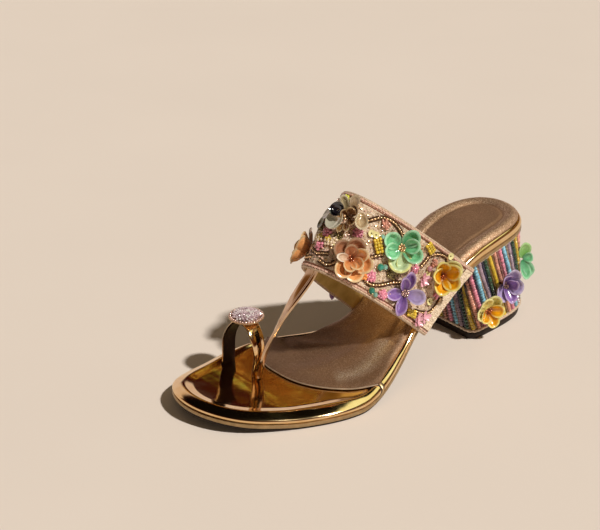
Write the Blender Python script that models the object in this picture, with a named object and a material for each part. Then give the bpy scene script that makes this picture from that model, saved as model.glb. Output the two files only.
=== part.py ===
"""Block heel sandal, left shoe: a toe-ring mule with one wide embroidered band over the instep.

Blender 4.5, metres, +Z up. The origin is on the floor at the centre of the heel's top piece.
The toe points to -Y and the outer, lateral side of the left foot is +X. All the tables below
are in millimetres. A station t is the distance forward of the heel's rearmost point, so
y = HEEL_BACK_Y - t.
"""

import math

import bmesh
import bpy
import numpy as np
from mathutils import Vector

MM = 0.001
GAP = 0.3                 # between two pieces that meet
CLEARANCE = 0.45          # between two curved pieces whose facets differ

# Driving sizes of the shoe
LENGTH = 245.0            # heel's rearmost point to toe tip
HEEL_BACK_Y = 26.0        # puts the origin at the middle of the heel's top piece
STACK = 8.8               # floor to the top of the board at the ball
FOOT_Z = STACK + GAP      # where the ring's and the strap's feet stand on the toe bed

# Layers of the sole, measured down from the top of the board
BOARD_THICK = 5.0
WELT_THICK = 1.9
OUTSOLE_THICK = STACK - BOARD_THICK - WELT_THICK - 2 * GAP
SOCK_THICK = 2.4

# Outline of the sole seen from above, in order round the shoe from the heel's rearmost point
OUTLINE = (
    # place              t       x
    ("heel back",        0.0,   -0.1),
    ("heel corner, lat", 8.3,   20.1),
    ("seat, lateral",   33.0,   28.8),
    ("seat front, lat", 60.0,   30.8),
    ("waist, lateral", 104.0,   33.3),
    ("ball, lateral",  163.0,   51.8),
    ("toes, lateral",  208.0,   38.8),
    ("toe corner, lat", 234.0,  21.6),
    ("toe tip",        LENGTH,  -8.2),
    ("toe corner, med", 236.3, -29.6),
    ("toes, medial",   214.0,  -40.3),
    ("ball, medial",   156.0,  -39.9),
    ("waist, medial",  131.7,  -19.0),
    ("seat front, med", 60.0,  -22.4),
    ("seat, medial",    33.0,  -26.4),
    ("heel corner, med", 8.3,  -18.5),
)

# Height of the board's top along the shoe: heel pitch, shank, flat ball, toe spring
BOARD_LINE = (
    # place         t       z
    ("heel back",   0.0,   67.0),
    ("seat front", 50.0,   61.0),
    ("shank",     102.0,   35.2),
    ("arch",      126.0,   19.8),
    ("tread back", 150.0,  11.2),
    ("ball",      165.0,  STACK),
    ("tread front", 198.0, STACK),
    ("toes",      219.0,   10.6),
    ("toe tip",   LENGTH,  15.0),
)

# Edge profiles of the plates: how far in from the outline, and how far below the layer's top
ROLLED_RIM = ((1.9, 0.0), (0.75, 0.5), (0.1, 1.7), (0.05, 3.0), (0.6, 4.4), (1.3, BOARD_THICK))
WELT_EDGE = ((0.5, 0.0), (0.15, 0.4), (0.15, WELT_THICK - 0.4), (0.5, WELT_THICK))
OUTSOLE_EDGE = ((0.9, 0.0), (0.9, OUTSOLE_THICK - 0.4), (1.3, OUTSOLE_THICK))

# Padded sock: reaches forward to a curved edge across the ball
SOCK_INSET = 2.2
SOCK_EDGE_HEIGHT = 1.0    # of the edge, above the board
SOCK_SHOULDER = 2.6       # width of the rounded edge
SOCK_FRONT_T = 182.0      # furthest forward point of the sock
SOCK_FRONT_X = -6.0
SOCK_SIDE_T = {"medial": 160.0, "lateral": 149.0}
SOCK_FRONT_POWER = 2.6    # how late the front edge turns back towards the sides
SOCK_WARP_T = 120.0       # behind this the ribs run straight across
SOCK_STRAIGHT_SHARE = 0.62  # of the ribs that lie behind it

# Heel: block with its covering of beads, and top piece
BREAST_T = 58.0           # of the block's front face, at its top
BLOCK_INSET = 0.5         # of the block's top from the outline
BREAST_ROUND = 6.0        # radius of the breast's two corners
FOOT_BACK_T = -4.0        # the top piece reaches behind the seat
FOOT_FRONT_T = 56.0
FOOT_INSET = 1.9          # of the top piece from the outline
BLOCK_OVERHANG = 1.6      # the block's covering stands out over the top piece
TOP_PIECE_THICK = 3.8

# Band over the instep: two edges, each an arch from the lateral to the medial end
BAND_THICK = 2.4
BAND_EDGES = {
    # edge       lateral end   medial end    top of the arch      below the board at the ends
    "front": dict(lateral_t=103.5, medial_t=110.0, top_t=161.5, top_x=4.0, top_z=71.5, drop=11.0),
    "back": dict(lateral_t=62.5, medial_t=67.0, top_t=130.0, top_x=2.0, top_z=107.0, drop=5.8),
}
ARCH_SQUARENESS = 2.15    # 2 is an ellipse
BAND_CROWN = Vector((0.0, 1.2, 1.06))  # how far its middle stands out between its edges
BAND_FREE_HEIGHT = 1.6    # above the board, where the arch begins
BAND_TAB_SHARE = 0.08     # of the band's length, at each end, that lies on the rim
STRAP_JOIN = dict(v=0.10, width=6.0, thick=1.2)  # where the centre strap ends in the band's wall

# Toe ring, its two legs standing on the toe bed either side of the big toe
RING_LATERAL_X = -9.4
RING_MEDIAL_X = -34.4
RING_T = 193.3
RING_LEAN = 4.0           # the top leans this far back to the heel
RING_TOP_Z = 38.0
RING_WIDTH = 9.2
RING_FOOT_WIDTH = 5.0     # of the leg between the toes
RING_THICK = 1.7
RING_SQUARENESS = 2.7
RING_BULGE = 1.9          # the legs bow outwards by this much halfway up

# Button on the ring: a dished tray and the domed cluster that lies in it
BUTTON_RADIUS = 10.3
TRAY_PROFILE = (
    # place             inset from rim   height
    ("under, middle",   BUTTON_RADIUS,    0.0),
    ("under",                4.3,         0.0),
    ("side, low",            0.6,         1.6),
    ("side, high",           0.0,         2.2),
    ("rim, outer",           0.3,         2.6),
    ("rim, inner",           1.3,         2.5),
    ("dish, edge",           1.7,         1.8),
    ("dish, middle",    BUTTON_RADIUS,    1.6),
)
DOME_RADIUS = 8.2
DOME_EDGE = 0.5           # height of the cluster's edge, below its dome
DOME_HEIGHT = 3.6

# Centre strap from between the toes to the middle of the band's front edge
STRAP_ROUTE = (
    # place          x      t      z      width  thick  turn
    ("foot",        -5.7, 193.2, FOOT_Z,  3.0,   2.2,   90.0),
    ("toe cleft",   -5.2, 190.0, 22.0,    3.6,   2.1,   80.0),
    ("lower half",  -3.4, 183.5, 36.0,    5.0,   2.0,   45.0),
    ("upper half",  -0.4, 173.5, 52.5,    6.0,   1.9,   12.0),
    ("under band",   2.6, 163.0, 67.0,    6.0,   1.8,    0.0),
)

# Flowers sewn to the band and the heel: a stem, and a ring of petals cupped round an eye
FLOWER_PROFILE = (
    # place              share of radius   height
    ("stem foot",              0.18,        0.0),
    ("stem top",               0.22,        1.0),
    ("petals, underside",      0.95,        4.9),
    ("petals, edge",           1.00,        5.9),
    ("petals, foot",           0.32,        2.5),
    ("eye",                    0.16,        3.7),
)
PETAL_NOTCH = 0.30        # the radius between two petals is shorter by this share
BAND_FLOWERS = (
    # name                       u      v   radius petals  spin
    ("flower_yellow_lateral",  0.115, 0.69,  9.8,   5,     20.0),
    ("flower_purple_lateral",  0.160, 0.24, 11.2,   4,      8.0),
    ("flower_mint_lateral",    0.240, 0.68, 12.0,   5,     18.0),
    ("flower_peach_lateral",   0.360, 0.28, 12.0,   6,      0.0),
    ("flower_peach_medial",    0.690, 0.24, 12.0,   6,     30.0),
    ("flower_mint_medial",     0.810, 0.60, 12.0,   5,     18.0),
    ("flower_purple_medial",   0.885, 0.18, 11.0,   4,     20.0),
    ("flower_yellow_medial",   0.910, 0.72,  9.8,   5,     50.0),
)
HEEL_FLOWERS = (
    # name                      side      back to breast  seat to foot  radius petals  spin
    ("flower_mint_heel_lat",   "lateral",     0.19,          0.45,       10.0,   5,      0.0),
    ("flower_mint_heel_med",   "medial",      0.19,          0.45,       10.0,   5,      0.0),
    ("flower_purple_heel_lat", "lateral",     0.46,          0.55,        9.5,   4,     10.0),
    ("flower_purple_heel_med", "medial",      0.46,          0.55,        9.5,   4,     10.0),
    ("flower_yellow_heel_lat", "lateral",     0.67,          0.76,        9.5,   5,     36.0),
    ("flower_yellow_heel_med", "medial",      0.67,          0.76,        9.5,   5,     36.0),
)


def lerp(a, b, share):
    return a + (b - a) * share


def periodic_spline(knots, count):
    """Points of a smooth closed curve through the knots, by chord length."""
    points = np.array(knots, float)
    steps = np.linalg.norm(np.roll(points, -1, axis=0) - points, axis=1)
    n = len(points)
    system = np.zeros((n, n))
    right = np.zeros((n, 2))
    for i in range(n):
        before, after = steps[i - 1], steps[i]
        system[i, i - 1] = after
        system[i, i] = 2 * (before + after)
        system[i, (i + 1) % n] = before
        slope_in = (points[i] - points[i - 1]) / before
        slope_out = (points[(i + 1) % n] - points[i]) / after
        right[i] = 3 * (after * slope_in + before * slope_out)
    slopes = np.linalg.solve(system, right)
    places = np.concatenate([[0.0], np.cumsum(steps)])
    curve = []
    for place in np.linspace(0.0, places[-1], count, endpoint=False):
        i = min(int(np.searchsorted(places, place, side="right")) - 1, n - 1)
        h = steps[i]
        s = (place - places[i]) / h
        j = (i + 1) % n
        curve.append(
            (1 + 2 * s) * (1 - s) ** 2 * points[i] + s * (1 - s) ** 2 * h * slopes[i]
            + s * s * (3 - 2 * s) * points[j] + s * s * (s - 1) * h * slopes[j]
        )
    return np.array(curve)


def monotone_curve(xs, ys):
    """A smooth function through the points with no overshoot, flat where two rows are level."""
    xs, ys = np.array(xs, float), np.array(ys, float)
    steps, slopes = np.diff(xs), np.diff(ys) / np.diff(xs)
    tangents = np.zeros(len(xs))
    tangents[0], tangents[-1] = slopes[0], slopes[-1]
    for i in range(1, len(xs) - 1):
        if slopes[i - 1] * slopes[i] > 0:
            w1 = 2 * steps[i] + steps[i - 1]
            w2 = steps[i] + 2 * steps[i - 1]
            tangents[i] = (w1 + w2) / (w1 / slopes[i - 1] + w2 / slopes[i])

    def value(x):
        i = int(np.clip(np.searchsorted(xs, x) - 1, 0, len(xs) - 2))
        h = steps[i]
        s = (x - xs[i]) / h
        return float(
            (1 + 2 * s) * (1 - s) ** 2 * ys[i] + s * (1 - s) ** 2 * h * tangents[i]
            + s * s * (3 - 2 * s) * ys[i + 1] + s * s * (s - 1) * h * tangents[i + 1]
        )

    return value


board_z = monotone_curve([row[1] for row in BOARD_LINE], [row[2] for row in BOARD_LINE])
OUTLINE_CURVE = periodic_spline([(row[2], row[1]) for row in OUTLINE], 720)


def side_curves(inset):
    """The outline moved in by inset, as x over t for each side: (start, end, lateral, medial)."""
    ahead, behind = np.roll(OUTLINE_CURVE, -1, axis=0), np.roll(OUTLINE_CURVE, 1, axis=0)
    run = ahead - behind
    run /= np.linalg.norm(run, axis=1)[:, None]
    inward = np.stack([run[:, 1], -run[:, 0]], axis=1)
    centre = OUTLINE_CURVE.mean(axis=0)
    if ((centre - OUTLINE_CURVE) * inward).sum() < 0:
        inward = -inward
    moved = OUTLINE_CURVE + inset * inward
    heel, toe = int(moved[:, 1].argmin()), int(moved[:, 1].argmax())
    count = len(moved)
    lateral = moved[[(heel + k) % count for k in range((toe - heel) % count + 1)]]
    medial = moved[[(heel - k) % count for k in range((heel - toe) % count + 1)]]
    return lateral[0, 1], lateral[-1, 1], lateral, medial


def across_at(curves, t):
    """(medial x, lateral x) of an inset outline at station t."""
    lateral, medial = curves[2], curves[3]
    return (
        float(np.interp(t, medial[:, 1], medial[:, 0])),
        float(np.interp(t, lateral[:, 1], lateral[:, 0])),
    )


BAND_OUTLINE = side_curves(-CLEARANCE)


def shares_with_round_ends(count, round_start=True):
    """Shares from 0 to 1, closer together at the far end and, unless it is cut square, the start."""
    if round_start:
        return [(1 - math.cos(math.pi * k / count)) / 2 for k in range(count + 1)]
    return [math.sin(math.pi / 2 * k / count) for k in range(count + 1)]


def at(x, t, z):
    """A vertex in metres from the shoe's own millimetres."""
    return Vector((x * MM, (HEEL_BACK_Y - t) * MM, z * MM))


def finish_object(name, vertices, faces, material, sharp_angle=40.0):
    """One named object from points and faces, turned outwards and shaded smooth."""
    mesh = bpy.data.meshes.new(name)
    build = bmesh.new()
    made = [build.verts.new(v) for v in vertices]
    for face in faces:
        build.faces.new([made[i] for i in face])
    bmesh.ops.recalc_face_normals(build, faces=build.faces[:])
    bmesh.ops.triangulate(build, faces=[f for f in build.faces if len(f.verts) > 4])
    build.to_mesh(mesh)
    build.free()
    mesh.shade_smooth()
    mesh.set_sharp_from_angle(angle=math.radians(sharp_angle))
    obj = bpy.data.objects.new(name, mesh)
    mesh.materials.append(material)
    bpy.context.scene.collection.objects.link(obj)
    return obj


def material(name, color, roughness, metallic=0.0):
    made = bpy.data.materials.new(name)
    made.use_nodes = True
    shader = made.node_tree.nodes["Principled BSDF"]
    shader.inputs["Base Color"].default_value = (*color, 1.0)
    shader.inputs["Roughness"].default_value = roughness
    shader.inputs["Metallic"].default_value = metallic
    return made


def loop_faces(rings):
    """Quads between closed rings of vertex numbers that have the same count."""
    faces = []
    for upper_ring, lower_ring in zip(rings, rings[1:]):
        count = len(upper_ring)
        for k in range(count):
            n = (k + 1) % count
            faces.append((upper_ring[k], upper_ring[n], lower_ring[n], lower_ring[k]))
    return faces


def rib_cap(ring):
    """Quads across a ring that runs up the lateral side and back down the medial side.

    A ring of an even count starts at a point that both sides share, and one of an odd count
    starts with a rib that has a point on each side.
    """
    count = len(ring)
    shift = count % 2
    faces = []
    for k in range(count // 2):
        corners = (ring[k], ring[k + 1], ring[(-k - 1 - shift) % count], ring[(-k - shift) % count])
        faces.append(tuple(dict.fromkeys(corners)))
    return faces


def capped(rings):
    """A loft's walls with its first and last ring closed by ribs."""
    return loop_faces(rings) + rib_cap(rings[0]) + rib_cap(rings[-1])


def sole_plate(name, profile, top_below_board, made_of, start=None, ribs=44):
    """A plate that follows the outline and the board's line, its edge shaped by the profile."""
    vertices, rings = [], []
    for inset, down in profile:
        curves = side_curves(inset)
        first = curves[0] if start is None else start
        lateral, medial = [], []
        for share in shares_with_round_ends(ribs, start is None):
            t = lerp(first, curves[1], share)
            medial_x, lateral_x = across_at(curves, t)
            z = board_z(min(max(t, 0.0), LENGTH)) - top_below_board - down
            lateral.append(at(lateral_x, t, z))
            medial.append(at(medial_x, t, z))
        back = medial[-2:0:-1] if start is None else medial[-2::-1]
        rings.append(range(len(vertices), len(vertices) + len(lateral) + len(back)))
        vertices += lateral + back
    return finish_object(name, vertices, capped(rings), made_of)


def sock_front(x):
    """Station of the sock's front edge at x: an arc that drops faster on the medial side."""
    side = "lateral" if x > SOCK_FRONT_X else "medial"
    edge_t = SOCK_SIDE_T[side]
    medial_x, lateral_x = across_at(side_curves(SOCK_INSET), edge_t)
    reach = abs((lateral_x if side == "lateral" else medial_x) - SOCK_FRONT_X)
    share = min(abs(x - SOCK_FRONT_X) / reach, 1.0)
    return SOCK_FRONT_T - (SOCK_FRONT_T - edge_t) * share ** SOCK_FRONT_POWER


def sock_point(curves, inset, share, across):
    """A point (x, t) of the sock: share from the heel to the front edge, across medial to lateral."""
    if share <= SOCK_STRAIGHT_SHARE:
        eased = 1 - math.cos(share / SOCK_STRAIGHT_SHARE * math.pi / 2)
        t = lerp(curves[0], SOCK_WARP_T, eased)
        return lerp(*across_at(curves, t), across), t
    bend = (share - SOCK_STRAIGHT_SHARE) / (1 - SOCK_STRAIGHT_SHARE)
    back = inset - SOCK_INSET
    medial_t = lerp(SOCK_WARP_T, SOCK_SIDE_T["medial"] - back, bend)
    lateral_t = lerp(SOCK_WARP_T, SOCK_SIDE_T["lateral"] - back, bend)
    x = lerp(across_at(curves, medial_t)[0], across_at(curves, lateral_t)[1], across)
    return x, lerp(SOCK_WARP_T, sock_front(x) - back, bend)


def padded_sock(made_of, rows=34, columns=8):
    """The insole: a thin pad with rounded edges, on ribs that bend into the curved front edge."""
    layers = (
        # inset from the outline            height over the board
        (SOCK_INSET,                        CLEARANCE),
        (SOCK_INSET,                        SOCK_EDGE_HEIGHT),
        (SOCK_INSET + 0.35 * SOCK_SHOULDER, 0.82 * SOCK_THICK),
        (SOCK_INSET + SOCK_SHOULDER,        SOCK_THICK),
    )
    vertices, rims, grids = [], [], []
    for inset, height in layers:
        curves = side_curves(inset)
        grid = []
        for i in range(rows + 1):
            # the first row is one point, at the back of the heel
            points = [sock_point(curves, inset, i / rows, j / columns)
                      for j in range(columns + 1 if i else 1)]
            first = len(vertices)
            vertices += [at(x, t, board_z(max(t, 0.0)) + height) for x, t in points]
            grid.append([first + j if i else first for j in range(columns + 1)])
        right = [line[-1] for line in grid[1:]]
        left = [line[0] for line in grid[1:]]
        rims.append([grid[0][0]] + right + grid[-1][-2:0:-1] + left[::-1])
        grids.append(grid)
    faces = loop_faces(rims)
    for grid in (grids[0], grids[-1]):
        for i in range(rows):
            for j in range(columns):
                corners = (grid[i][j], grid[i][j + 1], grid[i + 1][j + 1], grid[i + 1][j])
                faces.append(tuple(dict.fromkeys(corners)))
    used = sorted({number for face in faces for number in face})
    place = {number: k for k, number in enumerate(used)}
    faces = [tuple(place[number] for number in face) for face in faces]
    return finish_object("insole", [vertices[number] for number in used], faces, made_of)


def heel_outline(inset, ribs=22):
    """Points (x, t) round the heel: up the lateral side to the breast and back along the medial."""
    curves = side_curves(inset)
    lateral, medial = [], []
    for share in shares_with_round_ends(ribs):
        t = lerp(curves[0], BREAST_T, share)
        medial_x, lateral_x = across_at(curves, t)
        short = max(t - (BREAST_T - BREAST_ROUND), 0.0)
        pulled = BREAST_ROUND - math.sqrt(max(BREAST_ROUND ** 2 - short ** 2, 0.0))
        lateral.append((lateral_x - pulled, t))
        medial.append((medial_x + pulled, t))
    return lateral + medial[:0:-1]


def foot_outline(grow):
    """The heel's outline carried down to the floor, let out by grow all round."""
    outline = heel_outline(FOOT_INSET)
    first = min(t for _, t in outline)
    middle, half = (FOOT_BACK_T + FOOT_FRONT_T) / 2, (FOOT_FRONT_T - FOOT_BACK_T) / 2
    half_width = max(abs(x) for x, _ in outline)
    points = []
    for x, t in outline:
        foot_t = lerp(FOOT_BACK_T, FOOT_FRONT_T, (t - first) / (BREAST_T - first))
        points.append((x * (1 + grow / half_width), middle + (foot_t - middle) * (1 + grow / half)))
    return points


def heel_wall(seat_point, foot_point, level):
    """A point (x, t, z) of the block's wall, level 0 under the seat and 1 at the foot."""
    x, t = seat_point
    seat_z = board_z(max(t, 0.0)) - BOARD_THICK - WELT_THICK - 2 * GAP
    return Vector((lerp(x, foot_point[0], level), lerp(t, foot_point[1], level),
                   lerp(seat_z, TOP_PIECE_THICK + GAP, level)))


def heel_block(made_of):
    """Loft from the sloping seat down to the foot."""
    pairs = list(zip(heel_outline(BLOCK_INSET), foot_outline(BLOCK_OVERHANG)))
    vertices, rings = [], []
    for level in (0.0, 0.12, 0.4, 0.7, 1.0):
        rings.append(range(len(vertices), len(vertices) + len(pairs)))
        vertices += [at(*heel_wall(*pair, level)) for pair in pairs]
    return finish_object("heel_block", vertices, capped(rings), made_of)


def heel_top_piece(made_of):
    """Flat wearing piece under the block, its lower edge softened."""
    vertices, rings = [], []
    for z, grow in ((TOP_PIECE_THICK, 0.3), (0.6, 0.1), (0.0, -0.5)):
        outline = foot_outline(grow)
        rings.append(range(len(vertices), len(vertices) + len(outline)))
        vertices += [at(x, t, z) for x, t in outline]
    return finish_object("heel_top_piece", vertices, capped(rings), made_of)


def signed_power(value, power):
    return math.copysign(abs(value) ** power, value)


def band_side(now, side, v):
    """One end of the band: where it ends below the board, and where it comes clear of the rim."""
    t = now[side + "_t"]
    end = Vector((0.0, t, board_z(t) - now["drop"]))
    top = Vector((0.0, now["top_t"], now["top_z"]))
    low, high = 0.0, 1.0
    for _ in range(24):
        share = (low + high) / 2
        point = end.lerp(top, share)
        if point.z < board_z(point.y) + BAND_FREE_HEIGHT:
            low = share
        else:
            high = share
    free = end.lerp(top, high)
    which = {"medial": 0, "lateral": 1}[side]
    for point in (end, free):
        point.x = across_at(BAND_OUTLINE, point.y)[which]
    return end, free


def band_point(u, v):
    """The band's inner face: u from the lateral to the medial end, v from front to back edge."""
    front, back = BAND_EDGES["front"], BAND_EDGES["back"]
    now = {key: lerp(front[key], back[key], v) for key in front}
    lateral_end, lateral = band_side(now, "lateral", v)
    medial_end, medial = band_side(now, "medial", v)
    if u < BAND_TAB_SHARE:
        return lateral_end.lerp(lateral, u / BAND_TAB_SHARE)
    if u > 1 - BAND_TAB_SHARE:
        return medial_end.lerp(medial, (1 - u) / BAND_TAB_SHARE)
    top = Vector((now["top_x"], now["top_t"], now["top_z"]))
    middle = (lateral + medial) / 2
    angle = math.pi * (u - BAND_TAB_SHARE) / (1 - 2 * BAND_TAB_SHARE)
    side = signed_power(math.cos(angle), 2 / ARCH_SQUARENESS)
    rise = abs(math.sin(angle)) ** (2 / ARCH_SQUARENESS)
    crown = BAND_CROWN * (4 * v * (1 - v) * abs(math.sin(angle)))
    return middle + (lateral - medial) / 2 * side + (top - middle) * rise + crown


def band_normal(u, v):
    """Unit vector out of the band, in (x, t, z)."""
    step = 0.004
    low_u, high_u = max(u - step, 0.0), min(u + step, 1.0)
    low_v, high_v = max(v - step, 0.0), min(v + step, 1.0)
    along = band_point(high_u, v) - band_point(low_u, v)
    across = band_point(u, high_v) - band_point(u, low_v)
    normal = along.cross(across).normalized()
    outward = Vector((math.cos(math.pi * u), 0.6 * math.sin(math.pi * u), math.sin(math.pi * u)))
    return normal if normal.dot(outward) > 0 else -normal


def band(made_of, along=44, across=6):
    """The hollow wall of the band as one closed solid."""
    vertices, grids = [], []
    for lift in (0.0, BAND_THICK):
        grid = []
        for i in range(along + 1):
            shares = [(i / along, j / across) for j in range(across + 1)]
            grid.append(range(len(vertices), len(vertices) + across + 1))
            vertices += [at(*(band_point(u, v) + band_normal(u, v) * lift)) for u, v in shares]
        grids.append(grid)
    inner, outer = grids
    faces = []
    for grid in grids:
        for i in range(along):
            for j in range(across):
                faces.append((grid[i][j], grid[i + 1][j], grid[i + 1][j + 1], grid[i][j + 1]))
    for j in (0, across):
        for i in range(along):
            faces.append((inner[i][j], inner[i + 1][j], outer[i + 1][j], outer[i][j]))
    for i in (0, along):
        for j in range(across):
            faces.append((inner[i][j], inner[i][j + 1], outer[i][j + 1], outer[i][j]))
    return finish_object("upper", vertices, faces, made_of)


def smooth_path(knots, count):
    """Rows of a table of numbers read smoothly at even shares (Catmull-Rom)."""
    rows = np.array(knots, float)
    rows = np.concatenate([[2 * rows[0] - rows[1]], rows, [2 * rows[-1] - rows[-2]]])
    spans = len(rows) - 3
    out = []
    for k in range(count + 1):
        place = spans * k / count
        i = min(int(place), spans - 1)
        s = place - i
        a, b, c, d = rows[i:i + 4]
        out.append(0.5 * (2 * b + (c - a) * s + (2 * a - 5 * b + 4 * c - d) * s ** 2
                          + (3 * b - a - 3 * c + d) * s ** 3))
    return out


def strip_sweep(name, stations, made_of):
    """A strip with rounded edges along stations of (centre, width direction, width, thickness).

    A station at the height of the toe bed is a foot, cut level.
    """
    vertices, rings = [], []
    profile = [(math.cos(math.pi * k / 4), math.sin(math.pi * k / 4)) for k in range(8)]
    for i, (centre, wide, width, thick) in enumerate(stations):
        before = stations[max(i - 1, 0)][0]
        after = stations[min(i + 1, len(stations) - 1)][0]
        run = (after - before).normalized()
        if math.isclose(centre.z, FOOT_Z, abs_tol=MM):
            run = Vector((0.0, 0.0, math.copysign(1.0, run.z)))
        thin = run.cross(wide).normalized()
        wide = thin.cross(run).normalized()
        rings.append(range(len(vertices), len(vertices) + len(profile)))
        for c, s in profile:
            flat = signed_power(c, 0.35) * width / 2
            vertices.append(at(*(centre + wide * flat + thin * (s * thick / 2))))
    faces = loop_faces(rings) + [tuple(rings[0]), tuple(rings[-1])]
    return finish_object(name, vertices, faces, made_of)


def centre_strap(made_of):
    """The strap from between the toes, its top end let into the band's wall."""
    v = STRAP_JOIN["v"]
    into_band = band_point(0.5, v) + band_normal(0.5, v) * (BAND_THICK / 2)
    knots = [row[1:] for row in STRAP_ROUTE]
    knots.append((*into_band, STRAP_JOIN["width"], STRAP_JOIN["thick"], 0.0))
    stations = []
    for x, t, z, width, thick, turn in smooth_path(knots, 26):
        angle = math.radians(turn)
        wide = Vector((math.cos(angle), math.sin(angle), 0.0))
        stations.append((Vector((x, t, z)), wide, width, thick))
    return strip_sweep("centre_strap", stations, made_of)


def upper(made_of):
    """Band and centre strap as one solid, joined where they cross."""
    whole = band(made_of)
    strap = centre_strap(made_of)
    join = whole.modifiers.new("join_strap", "BOOLEAN")
    join.operation = "UNION"
    join.solver = "EXACT"
    join.object = strap
    bpy.context.view_layer.update()
    joined = bpy.data.meshes.new_from_object(
        whole.evaluated_get(bpy.context.evaluated_depsgraph_get()))
    whole.modifiers.clear()
    whole.data = joined
    bpy.data.objects.remove(strap, do_unlink=True)
    return whole


def ring_point(share):
    """Centre line of the toe ring from its lateral to its medial foot."""
    angle = math.pi * share
    middle = (RING_LATERAL_X + RING_MEDIAL_X) / 2
    half = (RING_LATERAL_X - RING_MEDIAL_X) / 2
    rise = math.sin(angle) ** (2 / RING_SQUARENESS)
    side = signed_power(math.cos(angle), 2 / RING_SQUARENESS)
    x = middle + half * side + math.copysign(RING_BULGE * math.sin(math.pi * rise) ** 2, side)
    return Vector((x, RING_T - RING_LEAN * rise, lerp(FOOT_Z, RING_TOP_Z - RING_THICK / 2, rise)))


def toe_ring(made_of, count=30):
    stations = []
    for k in range(count + 1):
        share = k / count
        width = lerp(RING_FOOT_WIDTH, RING_WIDTH, min(share / 0.25, 1.0))
        stations.append((ring_point(share), Vector((0.0, 1.0, 0.0)), width, RING_THICK))
    return strip_sweep("toe_ring", stations, made_of)


def turned(name, profile, centre, made_of, count=28):
    """A closed turned solid about a vertical axis, from (radius, z) rows that start and end on it."""
    vertices, rings = [], []
    for radius, z in profile:
        if radius == 0.0:
            rings.append([len(vertices)] * count)
            vertices.append(at(centre.x, centre.y, z))
            continue
        rings.append(range(len(vertices), len(vertices) + count))
        for k in range(count):
            angle = 2 * math.pi * k / count
            vertices.append(at(centre.x + radius * math.cos(angle),
                               centre.y + radius * math.sin(angle), z))
    faces = []
    for face in loop_faces(rings):
        corners = list(dict.fromkeys(face))
        faces.append(tuple(corners))
    return finish_object(name, vertices, faces, made_of)


def button(tray_material, dome_material):
    """Ornament on the ring, standing clear of it by the gap."""
    centre = ring_point(0.5)
    base = RING_TOP_Z + GAP
    tray = [(BUTTON_RADIUS - inset, base + height) for _, inset, height in TRAY_PROFILE]
    turned("button_tray", tray, centre, tray_material)
    floor = base + TRAY_PROFILE[-2][2] + GAP
    dome = [(0.0, floor), (DOME_RADIUS, floor)]
    for k in range(1, 6):
        angle = math.pi / 2 * k / 5
        radius = DOME_RADIUS * math.cos(angle) if k < 5 else 0.0
        dome.append((radius, floor + DOME_EDGE + DOME_HEIGHT * math.sin(angle)))
    turned("button_dome", dome, centre, dome_material)


def flower(name, base, out, radius, petals, spin, made_of, per_petal=4):
    """One flower whose stem stands at base (x, t, z) and whose cup opens along out."""
    across = out.orthogonal().normalized()
    upward = out.cross(across)
    count = petals * per_petal
    vertices, rings = [], []
    for _, share, height in FLOWER_PROFILE:
        rings.append(range(len(vertices), len(vertices) + count))
        for k in range(count):
            angle = math.radians(spin) + 2 * math.pi * k / count
            notch = PETAL_NOTCH * share ** 2 * (1 - abs(math.sin(math.pi * k / per_petal)))
            reach = radius * share * (1 - notch)
            sideways = across * math.cos(angle) + upward * math.sin(angle)
            vertices.append(at(*(base + out * height + sideways * reach)))
    faces = loop_faces(rings) + [tuple(rings[0]), tuple(rings[-1])]
    return finish_object(name, vertices, faces, made_of)


def flowers_on_band(petal_materials):
    for name, u, v, radius, petals, spin in BAND_FLOWERS:
        out = band_normal(u, v)
        base = band_point(u, v) + out * (BAND_THICK + GAP)
        flower(name, base, out, radius, petals, spin, petal_materials[name.split("_")[1]])


def flowers_on_heel(petal_materials):
    seat, foot = heel_outline(BLOCK_INSET), foot_outline(BLOCK_OVERHANG)
    ribs = len(seat) // 2
    for name, side, share, level, radius, petals, spin in HEEL_FLOWERS:
        number = round(share * ribs) * (1 if side == "lateral" else -1)
        here, ahead = heel_wall(seat[number], foot[number], level), number + 1
        along = heel_wall(seat[ahead], foot[ahead], level) - here
        down = heel_wall(seat[number], foot[number], 1.0) - here
        out = down.cross(along).normalized()
        flower(name, here + out * GAP, out, radius, petals, spin,
               petal_materials[name.split("_")[1]])


def main():
    for obj in list(bpy.data.objects):
        bpy.data.objects.remove(obj, do_unlink=True)
    mirror_gold = material("mirror_gold", (0.83, 0.60, 0.34), 0.12, 1.0)
    tan_gold = material("tan_gold", (0.52, 0.36, 0.21), 0.35, 0.6)
    pewter = material("pewter_leather", (0.20, 0.14, 0.10), 0.45, 0.3)
    rubber = material("sole_rubber", (0.03, 0.02, 0.018), 0.6)
    beads = material("bead_mix", (0.45, 0.40, 0.35), 0.25)
    fabric = material("band_fabric", (0.60, 0.45, 0.36), 0.7)
    crystal = material("crystal", (0.80, 0.66, 0.66), 0.15)

    sole_plate("midsole", ROLLED_RIM, 0.0, mirror_gold)
    sole_plate("welt", WELT_EDGE, BOARD_THICK + GAP, tan_gold)
    sole_plate("outsole", OUTSOLE_EDGE, BOARD_THICK + WELT_THICK + 2 * GAP, rubber,
               start=BREAST_T + 2 * GAP)
    padded_sock(pewter)
    heel_block(beads)
    heel_top_piece(rubber)
    upper(fabric)
    toe_ring(mirror_gold)
    button(tan_gold, crystal)
    petals = {
        "peach": material("peach_sequin", (0.72, 0.30, 0.16), 0.25),
        "mint": material("mint_sequin", (0.24, 0.66, 0.40), 0.25),
        "purple": material("purple_sequin", (0.32, 0.17, 0.52), 0.25),
        "yellow": material("yellow_sequin", (0.86, 0.42, 0.04), 0.25),
    }
    flowers_on_band(petals)
    flowers_on_heel(petals)


main()
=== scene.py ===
import math
from functools import lru_cache
import bmesh
import bpy
import numpy as np
from mathutils import Matrix, Vector, noise


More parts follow.
